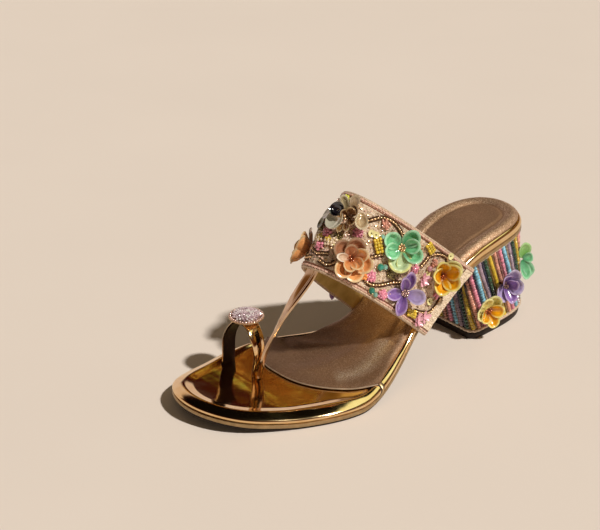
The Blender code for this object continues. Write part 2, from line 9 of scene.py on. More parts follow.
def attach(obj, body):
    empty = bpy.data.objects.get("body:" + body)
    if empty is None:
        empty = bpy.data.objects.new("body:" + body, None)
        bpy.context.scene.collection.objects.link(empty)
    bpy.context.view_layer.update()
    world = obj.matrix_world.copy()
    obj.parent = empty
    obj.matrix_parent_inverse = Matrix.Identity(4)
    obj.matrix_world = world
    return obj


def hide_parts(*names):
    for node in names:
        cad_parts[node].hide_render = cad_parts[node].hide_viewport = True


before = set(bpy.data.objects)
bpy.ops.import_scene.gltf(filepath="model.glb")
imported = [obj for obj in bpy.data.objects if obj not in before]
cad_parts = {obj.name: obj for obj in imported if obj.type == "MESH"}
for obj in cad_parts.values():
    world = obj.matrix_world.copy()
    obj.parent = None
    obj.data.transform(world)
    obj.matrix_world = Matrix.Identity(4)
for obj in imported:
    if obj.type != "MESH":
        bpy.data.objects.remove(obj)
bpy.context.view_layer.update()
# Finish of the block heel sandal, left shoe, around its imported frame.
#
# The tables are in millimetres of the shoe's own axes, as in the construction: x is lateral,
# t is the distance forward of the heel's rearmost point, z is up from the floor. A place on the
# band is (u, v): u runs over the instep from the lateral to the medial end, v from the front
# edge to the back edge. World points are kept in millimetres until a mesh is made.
MM = 0.001
GAP = 0.3
CLEARANCE = 0.45
RANDOM = np.random.default_rng(7)


# ---------------------------------------------------------------- the shoe's form, as built
LENGTH = 245.0
HEEL_BACK_Y = 26.0
STACK = 8.8
FOOT_Z = STACK + GAP
BOARD_THICK = 5.0
WELT_THICK = 1.9
OUTSOLE_THICK = STACK - BOARD_THICK - WELT_THICK - 2 * GAP
SOCK_THICK = 2.4
OUTLINE = (
    # place              t       x
    ("heel back",        0.0,   -0.1),
    ("heel corner, lat", 8.3,   20.1),
    ("seat, lateral",   33.0,   28.8),
    ("seat front, lat", 60.0,   30.8),
    ("waist, lateral", 104.0,   33.3),
    ("ball, lateral",  163.0,   51.8),
    ("toes, lateral",  208.0,   38.8),
    ("toe corner, lat", 234.0,  21.6),
    ("toe tip",        LENGTH,  -8.2),
    ("toe corner, med", 236.3, -29.6),
    ("toes, medial",   214.0,  -40.3),
    ("ball, medial",   156.0,  -39.9),
    ("waist, medial",  131.7,  -19.0),
    ("seat front, med", 60.0,  -22.4),
    ("seat, medial",    33.0,  -26.4),
    ("heel corner, med", 8.3,  -18.5),
)
BOARD_LINE = (
    # place         t       z
    ("heel back",   0.0,   67.0),
    ("seat front", 50.0,   61.0),
    ("shank",     102.0,   35.2),
    ("arch",      126.0,   19.8),
    ("tread back", 150.0,  11.2),
    ("ball",      165.0,  STACK),
    ("tread front", 198.0, STACK),
    ("toes",      219.0,   10.6),
    ("toe tip",   LENGTH,  15.0),
)
SOCK_INSET = 2.2
SOCK_FRONT_T = 182.0
SOCK_FRONT_X = -6.0
SOCK_SIDE_T = {"medial": 160.0, "lateral": 149.0}
SOCK_FRONT_POWER = 2.6
SOCK_WARP_T = 120.0
SOCK_STRAIGHT_SHARE = 0.62
BREAST_T = 58.0
BLOCK_INSET = 0.5
BREAST_ROUND = 6.0
FOOT_BACK_T = -4.0
FOOT_FRONT_T = 56.0
FOOT_INSET = 1.9
BLOCK_OVERHANG = 1.6
TOP_PIECE_THICK = 3.8
BAND_THICK = 2.4
BAND_EDGES = {
    # edge       lateral end   medial end    top of the arch      below the board at the ends
    "front": dict(lateral_t=103.5, medial_t=110.0, top_t=161.5, top_x=4.0, top_z=71.5, drop=11.0),
    "back": dict(lateral_t=62.5, medial_t=67.0, top_t=130.0, top_x=2.0, top_z=107.0, drop=5.8),
}
ARCH_SQUARENESS = 2.15
BAND_CROWN = np.array((0.0, 1.2, 1.06))
BAND_FREE_HEIGHT = 1.6
BAND_TAB_SHARE = 0.08
STRAP_JOIN = dict(v=0.10, width=6.0, thick=1.2)
RING_LATERAL_X = -9.4
RING_MEDIAL_X = -34.4
RING_T = 193.3
RING_LEAN = 4.0
RING_TOP_Z = 38.0
RING_WIDTH = 9.2
RING_FOOT_WIDTH = 5.0
RING_THICK = 1.7
RING_SQUARENESS = 2.7
RING_BULGE = 1.9
DOME_RADIUS = 8.2
DOME_HEIGHT = 2.9
STRAP_ROUTE = (
    # place          x      t      z      width  thick  turn
    ("foot",        -5.7, 193.2, FOOT_Z,  3.0,   2.2,   90.0),
    ("toe cleft",   -5.2, 190.0, 22.0,    3.6,   2.1,   80.0),
    ("lower half",  -3.4, 183.5, 36.0,    5.0,   2.0,   45.0),
    ("upper half",  -0.4, 173.5, 52.5,    6.0,   1.9,   12.0),
    ("under band",   2.6, 163.0, 67.0,    6.0,   1.8,    0.0),
)


SIDES = ("lateral", "medial")


def lerp(a, b, share):
    return a + (b - a) * share


def smoothstep(low, high, value):
    share = np.clip((np.asarray(value, float) - low) / (high - low), 0.0, 1.0)
    return share * share * (3 - 2 * share)


def hermite(s, h, a, b, slope_a, slope_b):
    """Cubic from a to b at share s of a step h."""
    return ((1 + 2 * s) * (1 - s) ** 2 * a + s * (1 - s) ** 2 * h * slope_a
            + s * s * (3 - 2 * s) * b + s * s * (s - 1) * h * slope_b)


def periodic_spline(knots, count):
    """Points of a smooth closed curve through the knots, by chord length."""
    points = np.array(knots, float)
    ahead = np.roll(points, -1, axis=0)
    steps = np.linalg.norm(ahead - points, axis=1)
    chords = (ahead - points) / steps[:, None]
    n = len(points)
    system, right = np.zeros((n, n)), np.zeros((n, 2))
    for i in range(n):
        before, after = steps[i - 1], steps[i]
        system[i, i - 1], system[i, i], system[i, (i + 1) % n] = after, 2 * (before + after), before
        right[i] = 3 * (after * chords[i - 1] + before * chords[i])
    slopes = np.linalg.solve(system, right)
    travel = np.concatenate([[0.0], np.cumsum(steps)])
    places = np.linspace(0.0, travel[-1], count, endpoint=False)
    i = np.minimum(np.searchsorted(travel, places, side="right") - 1, n - 1)
    j = (i + 1) % n
    h = steps[i, None]
    return hermite((places - travel[i])[:, None] / h, h, points[i], points[j], slopes[i], slopes[j])


def monotone_curve(xs, ys):
    """A smooth function through the points with no overshoot, flat where two rows are level."""
    xs, ys = np.array(xs, float), np.array(ys, float)
    steps, slopes = np.diff(xs), np.diff(ys) / np.diff(xs)
    tangents = np.zeros(len(xs))
    tangents[0], tangents[-1] = slopes[0], slopes[-1]
    for i in range(1, len(xs) - 1):
        if slopes[i - 1] * slopes[i] > 0:
            w1 = 2 * steps[i] + steps[i - 1]
            w2 = steps[i] + 2 * steps[i - 1]
            tangents[i] = (w1 + w2) / (w1 / slopes[i - 1] + w2 / slopes[i])

    def value(x):
        x = np.clip(x, xs[0], xs[-1])
        i = np.clip(np.searchsorted(xs, x) - 1, 0, len(xs) - 2)
        return hermite((x - xs[i]) / steps[i], steps[i], ys[i], ys[i + 1], tangents[i], tangents[i + 1])

    return value


board_z = monotone_curve([row[1] for row in BOARD_LINE], [row[2] for row in BOARD_LINE])
OUTLINE_CURVE = periodic_spline([(row[2], row[1]) for row in OUTLINE], 1800)


def outline_inward():
    run = np.roll(OUTLINE_CURVE, -1, axis=0) - np.roll(OUTLINE_CURVE, 1, axis=0)
    run /= np.linalg.norm(run, axis=1)[:, None]
    inward = np.stack([run[:, 1], -run[:, 0]], axis=1)
    centre = OUTLINE_CURVE.mean(axis=0)
    return -inward if ((centre - OUTLINE_CURVE) * inward).sum() < 0 else inward


OUTLINE_INWARD = outline_inward()


def side_curves(inset):
    """The outline moved in by inset, a number or one for each of its points, as x over t for
    each side: (start, end, lateral, medial)."""
    moved = OUTLINE_CURVE + np.reshape(inset, (-1, 1)) * OUTLINE_INWARD
    heel, toe = int(moved[:, 1].argmin()), int(moved[:, 1].argmax())
    count = len(moved)
    lateral = moved[[(heel + k) % count for k in range((toe - heel) % count + 1)]]
    medial = moved[[(heel - k) % count for k in range((heel - toe) % count + 1)]]
    return lateral[0, 1], lateral[-1, 1], lateral, medial


def across_at(curves, t):
    """(medial x, lateral x) of an inset outline at station t."""
    lateral, medial = curves[2], curves[3]
    return np.interp(t, medial[:, 1], medial[:, 0]), np.interp(t, lateral[:, 1], lateral[:, 0])


BAND_OUTLINE = side_curves(-CLEARANCE)
SOCK_CURVES = side_curves(SOCK_INSET)


def shares_with_round_ends(count, round_start=True):
    """Shares from 0 to 1, closer together at the far end and, unless it is cut square, the start."""
    k = np.arange(count + 1) / count
    return (1 - np.cos(math.pi * k)) / 2 if round_start else np.sin(math.pi / 2 * k)


def shoe(x, t, z):
    """World points in millimetres from the shoe's own x, station and height."""
    x, y, z = np.broadcast_arrays(x, HEEL_BACK_Y - np.asarray(t, float), z)
    return np.stack([x, y, z], axis=-1).astype(float)


def smooth_path(knots, count):
    """Rows of a table of numbers read smoothly at even shares (Catmull-Rom)."""
    rows = np.array(knots, float)
    rows = np.concatenate([[2 * rows[0] - rows[1]], rows, [2 * rows[-1] - rows[-2]]])
    spans = len(rows) - 3
    places = spans * np.arange(count + 1) / count
    first = np.minimum(places.astype(int), spans - 1)
    s = (places - first)[:, None]
    a, b, c, d = (rows[first + k] for k in range(4))
    return 0.5 * (2 * b + (c - a) * s + (2 * a - 5 * b + 4 * c - d) * s ** 2
                  + (3 * b - a - 3 * c + d) * s ** 3)


def signed_power(value, power):
    return math.copysign(abs(value) ** power, value)


def unit(vectors):
    vectors = np.asarray(vectors, float)
    return vectors / np.maximum(np.linalg.norm(vectors, axis=-1, keepdims=True), 1e-12)


def travelled(points):
    """Distance along a polyline at each of its points."""
    steps = np.linalg.norm(np.diff(points, axis=0), axis=1)
    return np.concatenate([[0.0], np.cumsum(steps)])


def soft_noise(place):
    return noise.noise(Vector(place))


# ---------------------------------------------------------------- mesh tools
def place_in_scene(name, data):
    obj = bpy.data.objects.new(name, data)
    bpy.context.scene.collection.objects.link(obj)
    return obj


def new_piece(name, vertices, faces, made_of, slot, replaces=(), points=None, sharp=40.0,
              recalc=True):
    """One object that rides on the shoe. points are named values for each vertex."""
    mesh = bpy.data.meshes.new(name)
    mesh.from_pydata((np.asarray(vertices) * MM).tolist(), [], faces)
    if recalc:
        build = bmesh.new()
        build.from_mesh(mesh)
        bmesh.ops.recalc_face_normals(build, faces=build.faces[:])
        build.to_mesh(mesh)
        build.free()
    mesh.shade_smooth()
    mesh.set_sharp_from_angle(angle=math.radians(sharp))
    for label, values in (points or {}).items():
        mesh.attributes.new(label, "FLOAT", "POINT").data.foreach_set(
            "value", np.asarray(values, np.float32))
    mesh.materials.append(made_of)
    obj = place_in_scene(name, mesh)
    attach(obj, "root")
    if replaces:
        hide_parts(*replaces)
    return obj


def pairs(size):
    """Neighbours round a ring of vertices."""
    return [(k, (k + 1) % size) for k in range(size)]


def ring_faces(ring_count, size):
    """Quads between consecutive closed rings of the same size."""
    return [(low + k, low + n, low + size + n, low + size + k)
            for low in range(0, (ring_count - 1) * size, size) for k, n in pairs(size)]


def capped_rings(ring_count, size):
    """The rings' quads, and a flat face over the first and the last ring."""
    last = (ring_count - 1) * size
    return ring_faces(ring_count, size) + [tuple(range(size))[::-1], tuple(range(last, last + size))]


def slab(upper_grid, lower_grid):
    """A closed body between two grids of the same size, as (vertices, faces)."""
    rows, columns = upper_grid.shape[:2]
    size = rows * columns
    number = np.arange(size).reshape(rows, columns)
    corners = (number[:-1, :-1], number[:-1, 1:], number[1:, 1:], number[1:, :-1])
    upper = np.stack([corner.reshape(-1) for corner in corners], axis=1)
    rim = np.concatenate([number[0], number[1:, -1], number[-1, -2::-1], number[-2:0:-1, 0]])
    ahead = np.roll(rim, -1)
    faces = np.concatenate([upper, upper[:, ::-1] + size,
                            np.stack([ahead, rim, rim + size, ahead + size], axis=1)])
    return np.concatenate([upper_grid.reshape(-1, 3), lower_grid.reshape(-1, 3)]), faces.tolist()


def tube(centres, wide, thin, across, up):
    """A closed body of rings: across and up are each point's distances along wide and thin."""
    vertices = centres[:, None] + wide[:, None] * across[..., None] + thin[:, None] * up[..., None]
    return vertices.reshape(-1, 3), capped_rings(*across.shape)


def sweep(centres, wides, profile, widths, thicks):
    """A closed body along a path. The profile is a loop in shares of half width and thickness."""
    run = unit(np.gradient(centres, axis=0))
    thin = unit(np.cross(run, wides))
    profile = np.asarray(profile, float)
    widths, thicks = (np.broadcast_to(size, len(centres))[:, None] for size in (widths, thicks))
    return tube(centres, unit(np.cross(thin, run)), thin, profile[:, 0] * widths / 2,
                profile[:, 1] * thicks / 2)


def round_profile(sides):
    angles = 2 * math.pi * np.arange(sides) / sides
    return np.stack([np.cos(angles), np.sin(angles)], axis=1)


def rope(centres, normals, radius, strands, lay, sides=12, depth=0.3):
    """A twisted cord: lobed cross-sections that turn once every lay millimetres."""
    run = unit(np.gradient(centres, axis=0))
    side = unit(np.cross(run, normals))
    angles = 2 * math.pi * np.arange(sides) / sides
    twist = 2 * math.pi * travelled(centres) / lay / strands
    lobes = np.abs(np.cos(strands / 2 * (angles - twist[:, None])))
    reach = radius * (1 - depth + depth * lobes)
    return tube(centres, side, np.cross(side, run), np.cos(angles) * reach, np.sin(angles) * reach)


def join_bodies(bodies):
    """Several (vertices, faces) as one."""
    vertices, faces, first = [], [], 0
    for points, quads in bodies:
        vertices.append(points)
        faces += [tuple(first + i for i in face) for face in quads]
        first += len(points)
    return np.concatenate(vertices), faces


class Template:
    """A small shape that is copied many times: vertices in millimetres, faces, and for each
    vertex how near it is to the shape's rim and how far from its foot."""

    def __init__(self, vertices, faces, rims=None, reaches=None):
        self.vertices = np.asarray(vertices, float)
        self.faces = faces
        self.rims = np.zeros(len(self.vertices)) if rims is None else np.asarray(rims, float)
        self.reaches = np.ones(len(self.vertices)) if reaches is None else np.asarray(reaches, float)


class Pile:
    """Copies of templates, joined into one piece."""

    def __init__(self):
        self.vertices, self.faces, self.shades, self.rims, self.reaches = [], [], [], [], []
        self.count = 0

    def add(self, template, origin, axes, size=1.0, shade=None):
        """axes are the rows of the copy's own x, y and z directions."""
        points = (template.vertices * size) @ np.asarray(axes, float) + np.asarray(origin, float)
        self.faces += [tuple(self.count + i for i in face) for face in template.faces]
        self.vertices.append(points)
        self.shades.append(np.full(len(points), RANDOM.random() if shade is None else shade))
        self.rims.append(template.rims)
        self.reaches.append(template.reaches)
        self.count += len(points)

    def piece(self, name, made_of, slot, replaces=(), sharp=40.0):
        values = (("shade", self.shades), ("rim", self.rims), ("reach", self.reaches))
        points = {label: np.concatenate(rows) for label, rows in values}
        return new_piece(name, np.concatenate(self.vertices), self.faces, made_of, slot,
                         replaces, points, sharp, recalc=False)


class Piles(dict):
    """A pile for each colour, made when it is first asked for."""

    def __missing__(self, colour):
        self[colour] = Pile()
        return self[colour]

    def pieces(self, prefix, looks, slot="seed_beads", sharp=40.0):
        for colour, pile in self.items():
            pile.piece(f"{prefix}_{colour}", looks[colour], slot, sharp=sharp)


def single(name, template, place, axes, made_of, slot, replaces=(), shade=0.5):
    """One template as a piece."""
    pile = Pile()
    pile.add(template, place, axes, shade=shade)
    return pile.piece(name, made_of, slot, replaces)


def turned(profile, sides):
    """A solid turned about z from (radius, height) rows that run from its low end to its top."""
    vertices, faces, rings = [], [], []
    for radius, height in profile:
        around = round_profile(sides) * radius if radius else np.zeros((1, 2))
        rings.append(range(len(vertices), len(vertices) + len(around)))
        vertices += [(x, y, height) for x, y in around]
    for low, high in zip(rings, rings[1:]):
        for k, n in pairs(sides):
            # a ring may be one point, where the quads become triangles
            corners = [ring[i % len(ring)] for ring, i in ((low, k), (low, n), (high, n), (high, k))]
            faces.append(tuple(dict.fromkeys(corners)))
    faces += [tuple(ring) for ring in (rings[0][::-1], rings[-1]) if len(ring) > 1]
    return Template(vertices, faces)


def seed_bead(diameter, length, sides=9):
    """A small drawn-glass bead with rounded shoulders, its hole along z."""
    radius, half = diameter / 2, length / 2
    return turned(((0.42 * radius, -0.82 * half), (0.62 * radius, -half), (0.92 * radius, -0.62 * half),
                   (radius, 0.0), (0.92 * radius, 0.62 * half), (0.62 * radius, half),
                   (0.42 * radius, 0.82 * half)), sides)


def bugle(diameter, length, sides):
    """A straight cut tube bead along z."""
    radius, half = diameter / 2, length / 2
    return turned(((0.8 * radius, -half), (radius, -half + 0.15), (radius, half - 0.15),
                   (0.8 * radius, half)), sides)


def ball(diameter, sides=10, rows=5):
    angles = [math.pi * (k / rows - 0.5) for k in range(rows + 1)]
    rows = [(max(diameter / 2 * math.cos(a), 0.0), diameter / 2 * math.sin(a)) for a in angles]
    rows[0], rows[-1] = (0.0, rows[0][1]), (0.0, rows[-1][1])
    return turned(rows, sides)


def chaton(diameter, height, sides=8):
    """A cut stone that lies table up: pavilion, girdle, crown and table."""
    radius = diameter / 2
    return turned(((0.0, -0.5 * height), (0.96 * radius, 0.0), (radius, 0.14 * height),
                   (0.82 * radius, 0.52 * height), (0.5 * radius, 0.72 * height)), sides)


def cup_disc(diameter, depth, thick, hole, sides=20, rows=5):
    """A round sequin, its rim raised by depth, with a hole in the middle."""
    shares = np.linspace(hole / diameter, 1.0, rows + 1)
    radii = diameter / 2 * shares
    loop = [*zip(radii, depth * shares ** 2 - thick), *zip(radii[::-1], depth * shares[::-1] ** 2)]
    vertices = [(radius * x, radius * y, z) for radius, z in loop for x, y in round_profile(sides)]
    # the last ring joins the first one
    faces = [[i % len(vertices) for i in face] for face in ring_faces(len(loop) + 1, sides)]
    return Template(vertices, faces, rims=np.linalg.norm(np.array(vertices)[:, :2], axis=1) * 2 / diameter)


PETAL_RIBS = 4.0


def petal(length, width, cup, lift, fold=0.0, ripple=0.0, thick=0.3, cells=14, waist=0.45, bowl=0.6):
    """A cupped petal from its foot at the origin along x, its hollow towards z.

    cup is its depth, bowl the share of it in a pressed step inside the rim, lift raises its
    tip, fold sinks a crease along its middle and ripple lays ribs that fan out from its foot.
    waist is how much narrower it is at the foot.
    """
    a = np.linspace(-1, 1, cells + 1)
    row, column = np.meshgrid(a, a, indexing="ij")
    # a square grid bent into a disc, which leaves no pinched faces
    along = row * np.sqrt(1 - column ** 2 / 2)
    side = column * np.sqrt(1 - row ** 2 / 2)
    reach = (along + 1) / 2
    roundness = np.hypot(along, side)
    x = length * reach
    y = width / 2 * side * (1 - waist * (1 - reach) ** 1.5)
    z = (1.15 - bowl) * cup * (y / (width / 2)) ** 2
    z += bowl * cup * smoothstep(0.42, 0.80, roundness) * np.sqrt(reach)
    z += lift * reach ** 2 - 0.16 * cup * smoothstep(0.86, 1.0, roundness) * reach
    fan = np.arctan2(y, x + 0.12 * length) / np.arctan2(width / 2, 0.62 * length)
    z += ripple * np.cos(math.pi * PETAL_RIBS * fan) * smoothstep(0.1, 0.6, reach)
    z -= fold * np.exp(-(fan / 0.16) ** 2) * reach
    top = np.stack([x, y, z], axis=-1)
    values = [np.tile(value.reshape(-1), 2) for value in (roundness, reach)]
    return Template(*slab(top, top - np.array((0.0, 0.0, thick))), *values)


# ---------------------------------------------------------------- materials
def rgb(red, green, blue):
    """Linear colour from the usual numbers out of 255."""
    return tuple(c / 12.92 if c <= 0.04045 else ((c + 0.055) / 1.055) ** 2.4
                 for c in (red / 255, green / 255, blue / 255)) + (1.0,)


class Nodes:
    """Short calls that add nodes to a tree. A value is a number, a colour or a node's output."""

    def __init__(self, tree):
        self.tree = tree

    def feed(self, socket, value):
        if isinstance(value, bpy.types.NodeSocket):
            self.tree.links.new(value, socket)
        else:
            socket.default_value = value

    def add(self, kind, **inputs):
        node = self.tree.nodes.new(kind)
        for label, value in inputs.items():
            self.feed(node.inputs[label.replace("_", " ").title()], value)
        return node

    def ramp(self, factor, *stops):
        """Colours over a factor: stops of (place, colour or grey)."""
        node = self.add("ShaderNodeValToRGB", fac=factor)
        elements = node.color_ramp.elements
        while len(elements) < len(stops):
            elements.new(0.5)
        for element, (place, colour) in zip(elements, stops):
            element.position = place
            element.color = (colour, colour, colour, 1.0) if isinstance(colour, float) else colour
        return node.outputs["Color"]

    def mix(self, factor, first, second, blend="MIX"):
        node = self.tree.nodes.new("ShaderNodeMix")
        node.data_type, node.blend_type = "RGBA", blend
        for number, value in ((0, factor), (6, first), (7, second)):
            self.feed(node.inputs[number], value)
        return node.outputs[2]

    def math(self, operation, first, second):
        node = self.tree.nodes.new("ShaderNodeMath")
        node.operation = operation
        self.feed(node.inputs[0], first)
        self.feed(node.inputs[1], second)
        return node.outputs["Value"]


class Look(Nodes):
    """A material being made: its Principled shader, with short calls that add texture."""

    def __init__(self, name, colour, roughness, metallic=0.0, **sockets):
        self.material = bpy.data.materials.new(name)
        self.material.use_nodes = True
        super().__init__(self.material.node_tree)
        self.shader = self.tree.nodes["Principled BSDF"]
        for label, value in dict(sockets, base_color=colour, roughness=roughness, metallic=metallic).items():
            self.shader.inputs[label.replace("_", " ").title().replace("Ior", "IOR")].default_value = value

    def places(self, stretch):
        """Positions on the object, in millimetres, stretched along its axes."""
        place = self.add("ShaderNodeTexCoord").outputs["Object"]
        return self.add("ShaderNodeMapping", vector=place, scale=tuple(1 / MM / s for s in stretch))

    def noise(self, size, detail=2.0, stretch=(1.0, 1.0, 1.0)):
        """Soft noise with features of about size millimetres."""
        return self.add("ShaderNodeTexNoise", vector=self.places(stretch).outputs["Vector"],
                        scale=1.0 / size, detail=detail).outputs["Fac"]

    def cells(self, size, randomness=1.0, feature="F1"):
        place = self.places((1.0, 1.0, 1.0)).outputs["Vector"]
        node = self.add("ShaderNodeTexVoronoi", vector=place, scale=1.0 / size, randomness=randomness)
        node.feature = feature
        return node

    def value(self, label):
        """A value kept for each vertex of the mesh."""
        node = self.add("ShaderNodeAttribute")
        node.attribute_name = label
        return node.outputs["Fac"]

    def set(self, label, output):
        self.tree.links.new(output, self.shader.inputs[label])

    def paint(self, factor, *stops):
        self.set("Base Color", self.ramp(factor, *stops))

    def spread(self, factor, low, high):
        """Roughness that runs from low to high over a factor."""
        node = self.add("ShaderNodeMapRange", value=factor, to_min=low, to_max=high)
        self.set("Roughness", node.outputs["Result"])

    def bump(self, height, depth, strength, after=None):
        """Relief of about depth millimetres."""
        node = self.add("ShaderNodeBump", strength=strength, distance=depth * MM, height=height)
        if after is not None:
            self.feed(node.inputs["Normal"], after)
        self.set("Normal", node.outputs["Normal"])
        return node.outputs["Normal"]


def darker(colour, share):
    return tuple(c * share for c in colour[:3]) + (1.0,)


def grained_look(name, colour, roughness, metallic, grain, relief, stops, clouds=None, spread=None,
                 **sockets):
    """A material with one grain: colour stops over it, or over softer clouds, roughness and relief.
    grain and clouds are the size and detail of a noise, relief its depth and strength."""
    look = Look(name, colour, roughness, metallic, **sockets)
    grain = look.noise(*grain)
    look.paint(grain if clouds is None else look.noise(*clouds), *stops)
    if spread:
        look.spread(grain, *spread)
    look.bump(grain, *relief)
    return look.material


def mirror_gold_look(name="mirror_gold", low=rgb(232, 192, 132), high=rgb(242, 212, 162)):
    """Foiled leather: a soft mirror with faint stretch marks and small marks of wear."""
    look = Look(name, high, 0.08, 1.0)
    look.paint(look.noise(9.0, 3.0), (0.3, low), (0.7, high))
    grain = look.noise(0.5, 3.0)
    look.spread(grain, 0.05, 0.13)
    soft = look.bump(look.noise(6.0, 1.0), 0.05, 0.5)
    look.bump(grain, 0.012, 0.5, after=soft)
    return look.material


def tan_gold_look(name="tan_gold", colour=rgb(176, 148, 106), roughness=0.32):
    """Brushed, slightly worn metallic edge paint."""
    return grained_look(name, colour, roughness, 0.75, (0.35, 3.0, (4.0, 4.0, 1.0)), (0.05, 0.6),
                        ((0.3, darker(colour, 0.75)), (0.7, colour)), clouds=(3.0, 3.0),
                        spread=(roughness - 0.08, roughness + 0.14))


def rubber_look():
    return grained_look("sole_rubber", rgb(38, 26, 19), 0.5, 0.0, (0.6, 4.0), (0.06, 0.6),
                        ((0.3, rgb(28, 19, 14)), (0.75, rgb(50, 35, 25))), clouds=(7.0, 3.0),
                        spread=(0.38, 0.62), specular_ior_level=0.2)


def pewter_look():
    """Metallic goat leather: brown ground, fine sparkle that is coarser and brighter on its padded border,
    partly as painted highlight, painted shade that darkens it in front, a painted highlight streak, and small
    pebbled grain."""
    look = Look("pewter_leather", rgb(160, 126, 98), 0.56, 0.78)
    sparkle = look.cells(0.36).outputs["Color"]
    fine = look.ramp(sparkle, (0.25, rgb(158, 121, 92)), (0.70, rgb(178, 140, 109)),
                     (0.97, rgb(208, 171, 138)))
    # on the padded border: the leather's coarser sparkle, and lighter as painted highlight where the raised
    # border catches the light
    coarse = look.ramp(sparkle, (0.25, rgb(154, 118, 90)), (0.60, rgb(192, 154, 122)),
                       (0.95, rgb(252, 226, 196)))
    # painted highlight: the pale streak where the key light glances off the sock
    rubbed = look.ramp(sparkle, (0.25, rgb(178, 146, 116)), (0.55, rgb(232, 204, 172)),
                       (0.85, rgb(255, 244, 226)))
    ground = look.mix(look.value("rubbed"), look.mix(look.value("border"), fine, coarse), rubbed)
    clouds = look.ramp(look.noise(14.0, 3.0), (0.3, 0.86), (0.7, 1.0))
    # painted shade: the sock is darkened towards the front, where it is turned away from the light
    painted_front_shade = look.ramp(look.value("front"), (0.0, 1.0), (1.0, 0.74))
    clouded = look.mix(1.0, ground, clouds, "MULTIPLY")
    look.set("Base Color", look.mix(1.0, clouded, painted_front_shade, "MULTIPLY"))
    look.spread(look.noise(0.9, 3.0), 0.48, 0.64)
    grain = look.cells(0.9, feature="DISTANCE_TO_EDGE").outputs["Distance"]
    look.bump(sparkle, 0.05, 0.6, after=look.bump(grain, 0.07, 0.5))
    return look.material


def fabric_look():
    """Lurex cloth: crossed pinkish-beige threads with bright metal flecks."""
    look = Look("band_fabric", rgb(200, 172, 144), 0.62, 0.15, sheen_weight=0.3)
    ground = look.ramp(look.cells(0.62).outputs["Color"], (0.14, rgb(104, 78, 54)),
                       (0.36, rgb(196, 166, 134)), (0.72, rgb(230, 208, 180)), (0.92, rgb(255, 248, 234)))
    tone = look.ramp(look.noise(3.2, 3.0), (0.3, rgb(166, 136, 104)), (0.7, rgb(232, 210, 184)))
    look.set("Base Color", look.mix(0.38, ground, tone))
    look.spread(look.noise(0.4, 2.0), 0.40, 0.80)
    first = look.noise(0.35, 1.0, stretch=(1.0, 5.0, 1.0))
    second = look.noise(0.35, 1.0, stretch=(5.0, 1.0, 5.0))
    look.bump(look.math("MAXIMUM", first, second), 0.22, 0.9)
    return look.material


def piping_look():
    return grained_look("band_piping", rgb(220, 188, 156), 0.5, 0.2, (0.5, 3.0), (0.22, 0.8),
                        ((0.34, rgb(156, 122, 92)), (0.62, rgb(236, 212, 184))), sheen_weight=0.2)


def end_cord_look():
    """Cream silk floss, browner between its threads."""
    stops = ((0.34, rgb(150, 122, 94)), (0.50, rgb(224, 202, 172)), (0.68, rgb(250, 238, 218)))
    return grained_look("end_cord", rgb(226, 206, 178), 0.55, 0.15, (0.55, 3.0), (0.22, 0.9), stops,
                        sheen_weight=0.3)


def lining_painted_light_look():
    # painted light: the lining is coloured lighter than its leather to stand in for sunlight that doesn't
    # reach it under the band
    look = Look("lining_leather", rgb(214, 186, 112), 0.42, 0.30)
    look.paint(look.noise(8.0, 4.0), (0.3, rgb(196, 168, 98)), (0.7, rgb(236, 208, 136)))
    look.spread(look.noise(1.2, 2.0), 0.26, 0.44)
    look.bump(look.cells(0.8, feature="DISTANCE_TO_EDGE").outputs["Distance"], 0.06, 0.5)
    return look.material


def maroon_look():
    return grained_look("ring_lining", rgb(26, 5, 3), 0.5, 0.0, (0.7, 4.0), (0.08, 0.6),
                        ((0.3, rgb(18, 3, 2)), (0.7, rgb(36, 8, 5))), spread=(0.42, 0.62),
                        specular_ior_level=0.12)


def core_look():
    """Cloth under the strings of beads, coloured dark as painted shade between the strings."""
    look = Look("heel_cloth", rgb(42, 34, 40), 0.8)
    weave = look.cells(0.5, 0.3).outputs["Distance"]
    look.paint(weave, (0.2, rgb(54, 40, 44)), (0.6, rgb(22, 18, 26)))
    look.bump(weave, 0.15, 0.8)
    return look.material


def bead_look(name, colour, roughness=0.16, metallic=0.0, spread=0.35, speckle=0.3, coat=0.6):
    """Glass or metallised bead: each copy its own depth of colour, with small streaks."""
    look = Look(name, colour, roughness, metallic, coat_weight=coat, coat_roughness=0.05)
    bright = tuple(min(c * (1 + spread) + 0.02 * spread, 1.0) for c in colour[:3]) + (1.0,)
    own = look.ramp(look.value("shade"), (0.0, darker(colour, 1 - spread)), (0.5, colour), (1.0, bright))
    streaks = look.noise(0.45, 2.0)
    look.set("Base Color", look.mix(look.ramp(streaks, (0.35, 0.0), (0.75, speckle)), own, bright))
    look.spread(streaks, max(roughness - 0.08, 0.04), roughness + 0.14)
    look.bump(streaks, 0.03, 0.4)
    return look.material


def petal_look(name, foot, body, edge, pearl=0.0, fold=0.82):
    """Thin pressed plastic: deep at the foot, a darker line of painted shade along the pressed step round its
    bowl, pale rim.
    """
    look = Look(name, body, 0.2, pearl, coat_weight=0.7, coat_roughness=0.08, subsurface_weight=0.2,
                subsurface_scale=0.0015, subsurface_radius=(1.0, 0.8, 0.6))
    # the darker stop is painted shade along the step round the bowl
    bowl = look.ramp(look.value("rim"), (0.0, body), (0.50, body), (0.64, darker(body, fold)),
                     (0.74, body), (0.90, edge), (1.0, edge))
    deep = look.mix(look.ramp(look.value("reach"), (0.06, 1.0), (0.50, 0.0)), bowl, foot)
    own = look.ramp(look.value("shade"), (0.0, 0.72), (1.0, 1.0))
    blotch = look.ramp(look.noise(2.6, 2.0), (0.35, 0.82), (0.65, 1.0))
    look.set("Base Color", look.mix(1.0, look.mix(1.0, deep, own, "MULTIPLY"), blotch, "MULTIPLY"))
    look.spread(look.noise(0.8, 2.0), 0.14, 0.32)
    look.bump(look.noise(0.6, 2.0, stretch=(1.0, 1.0, 3.0)), 0.05, 0.5)
    return look.material


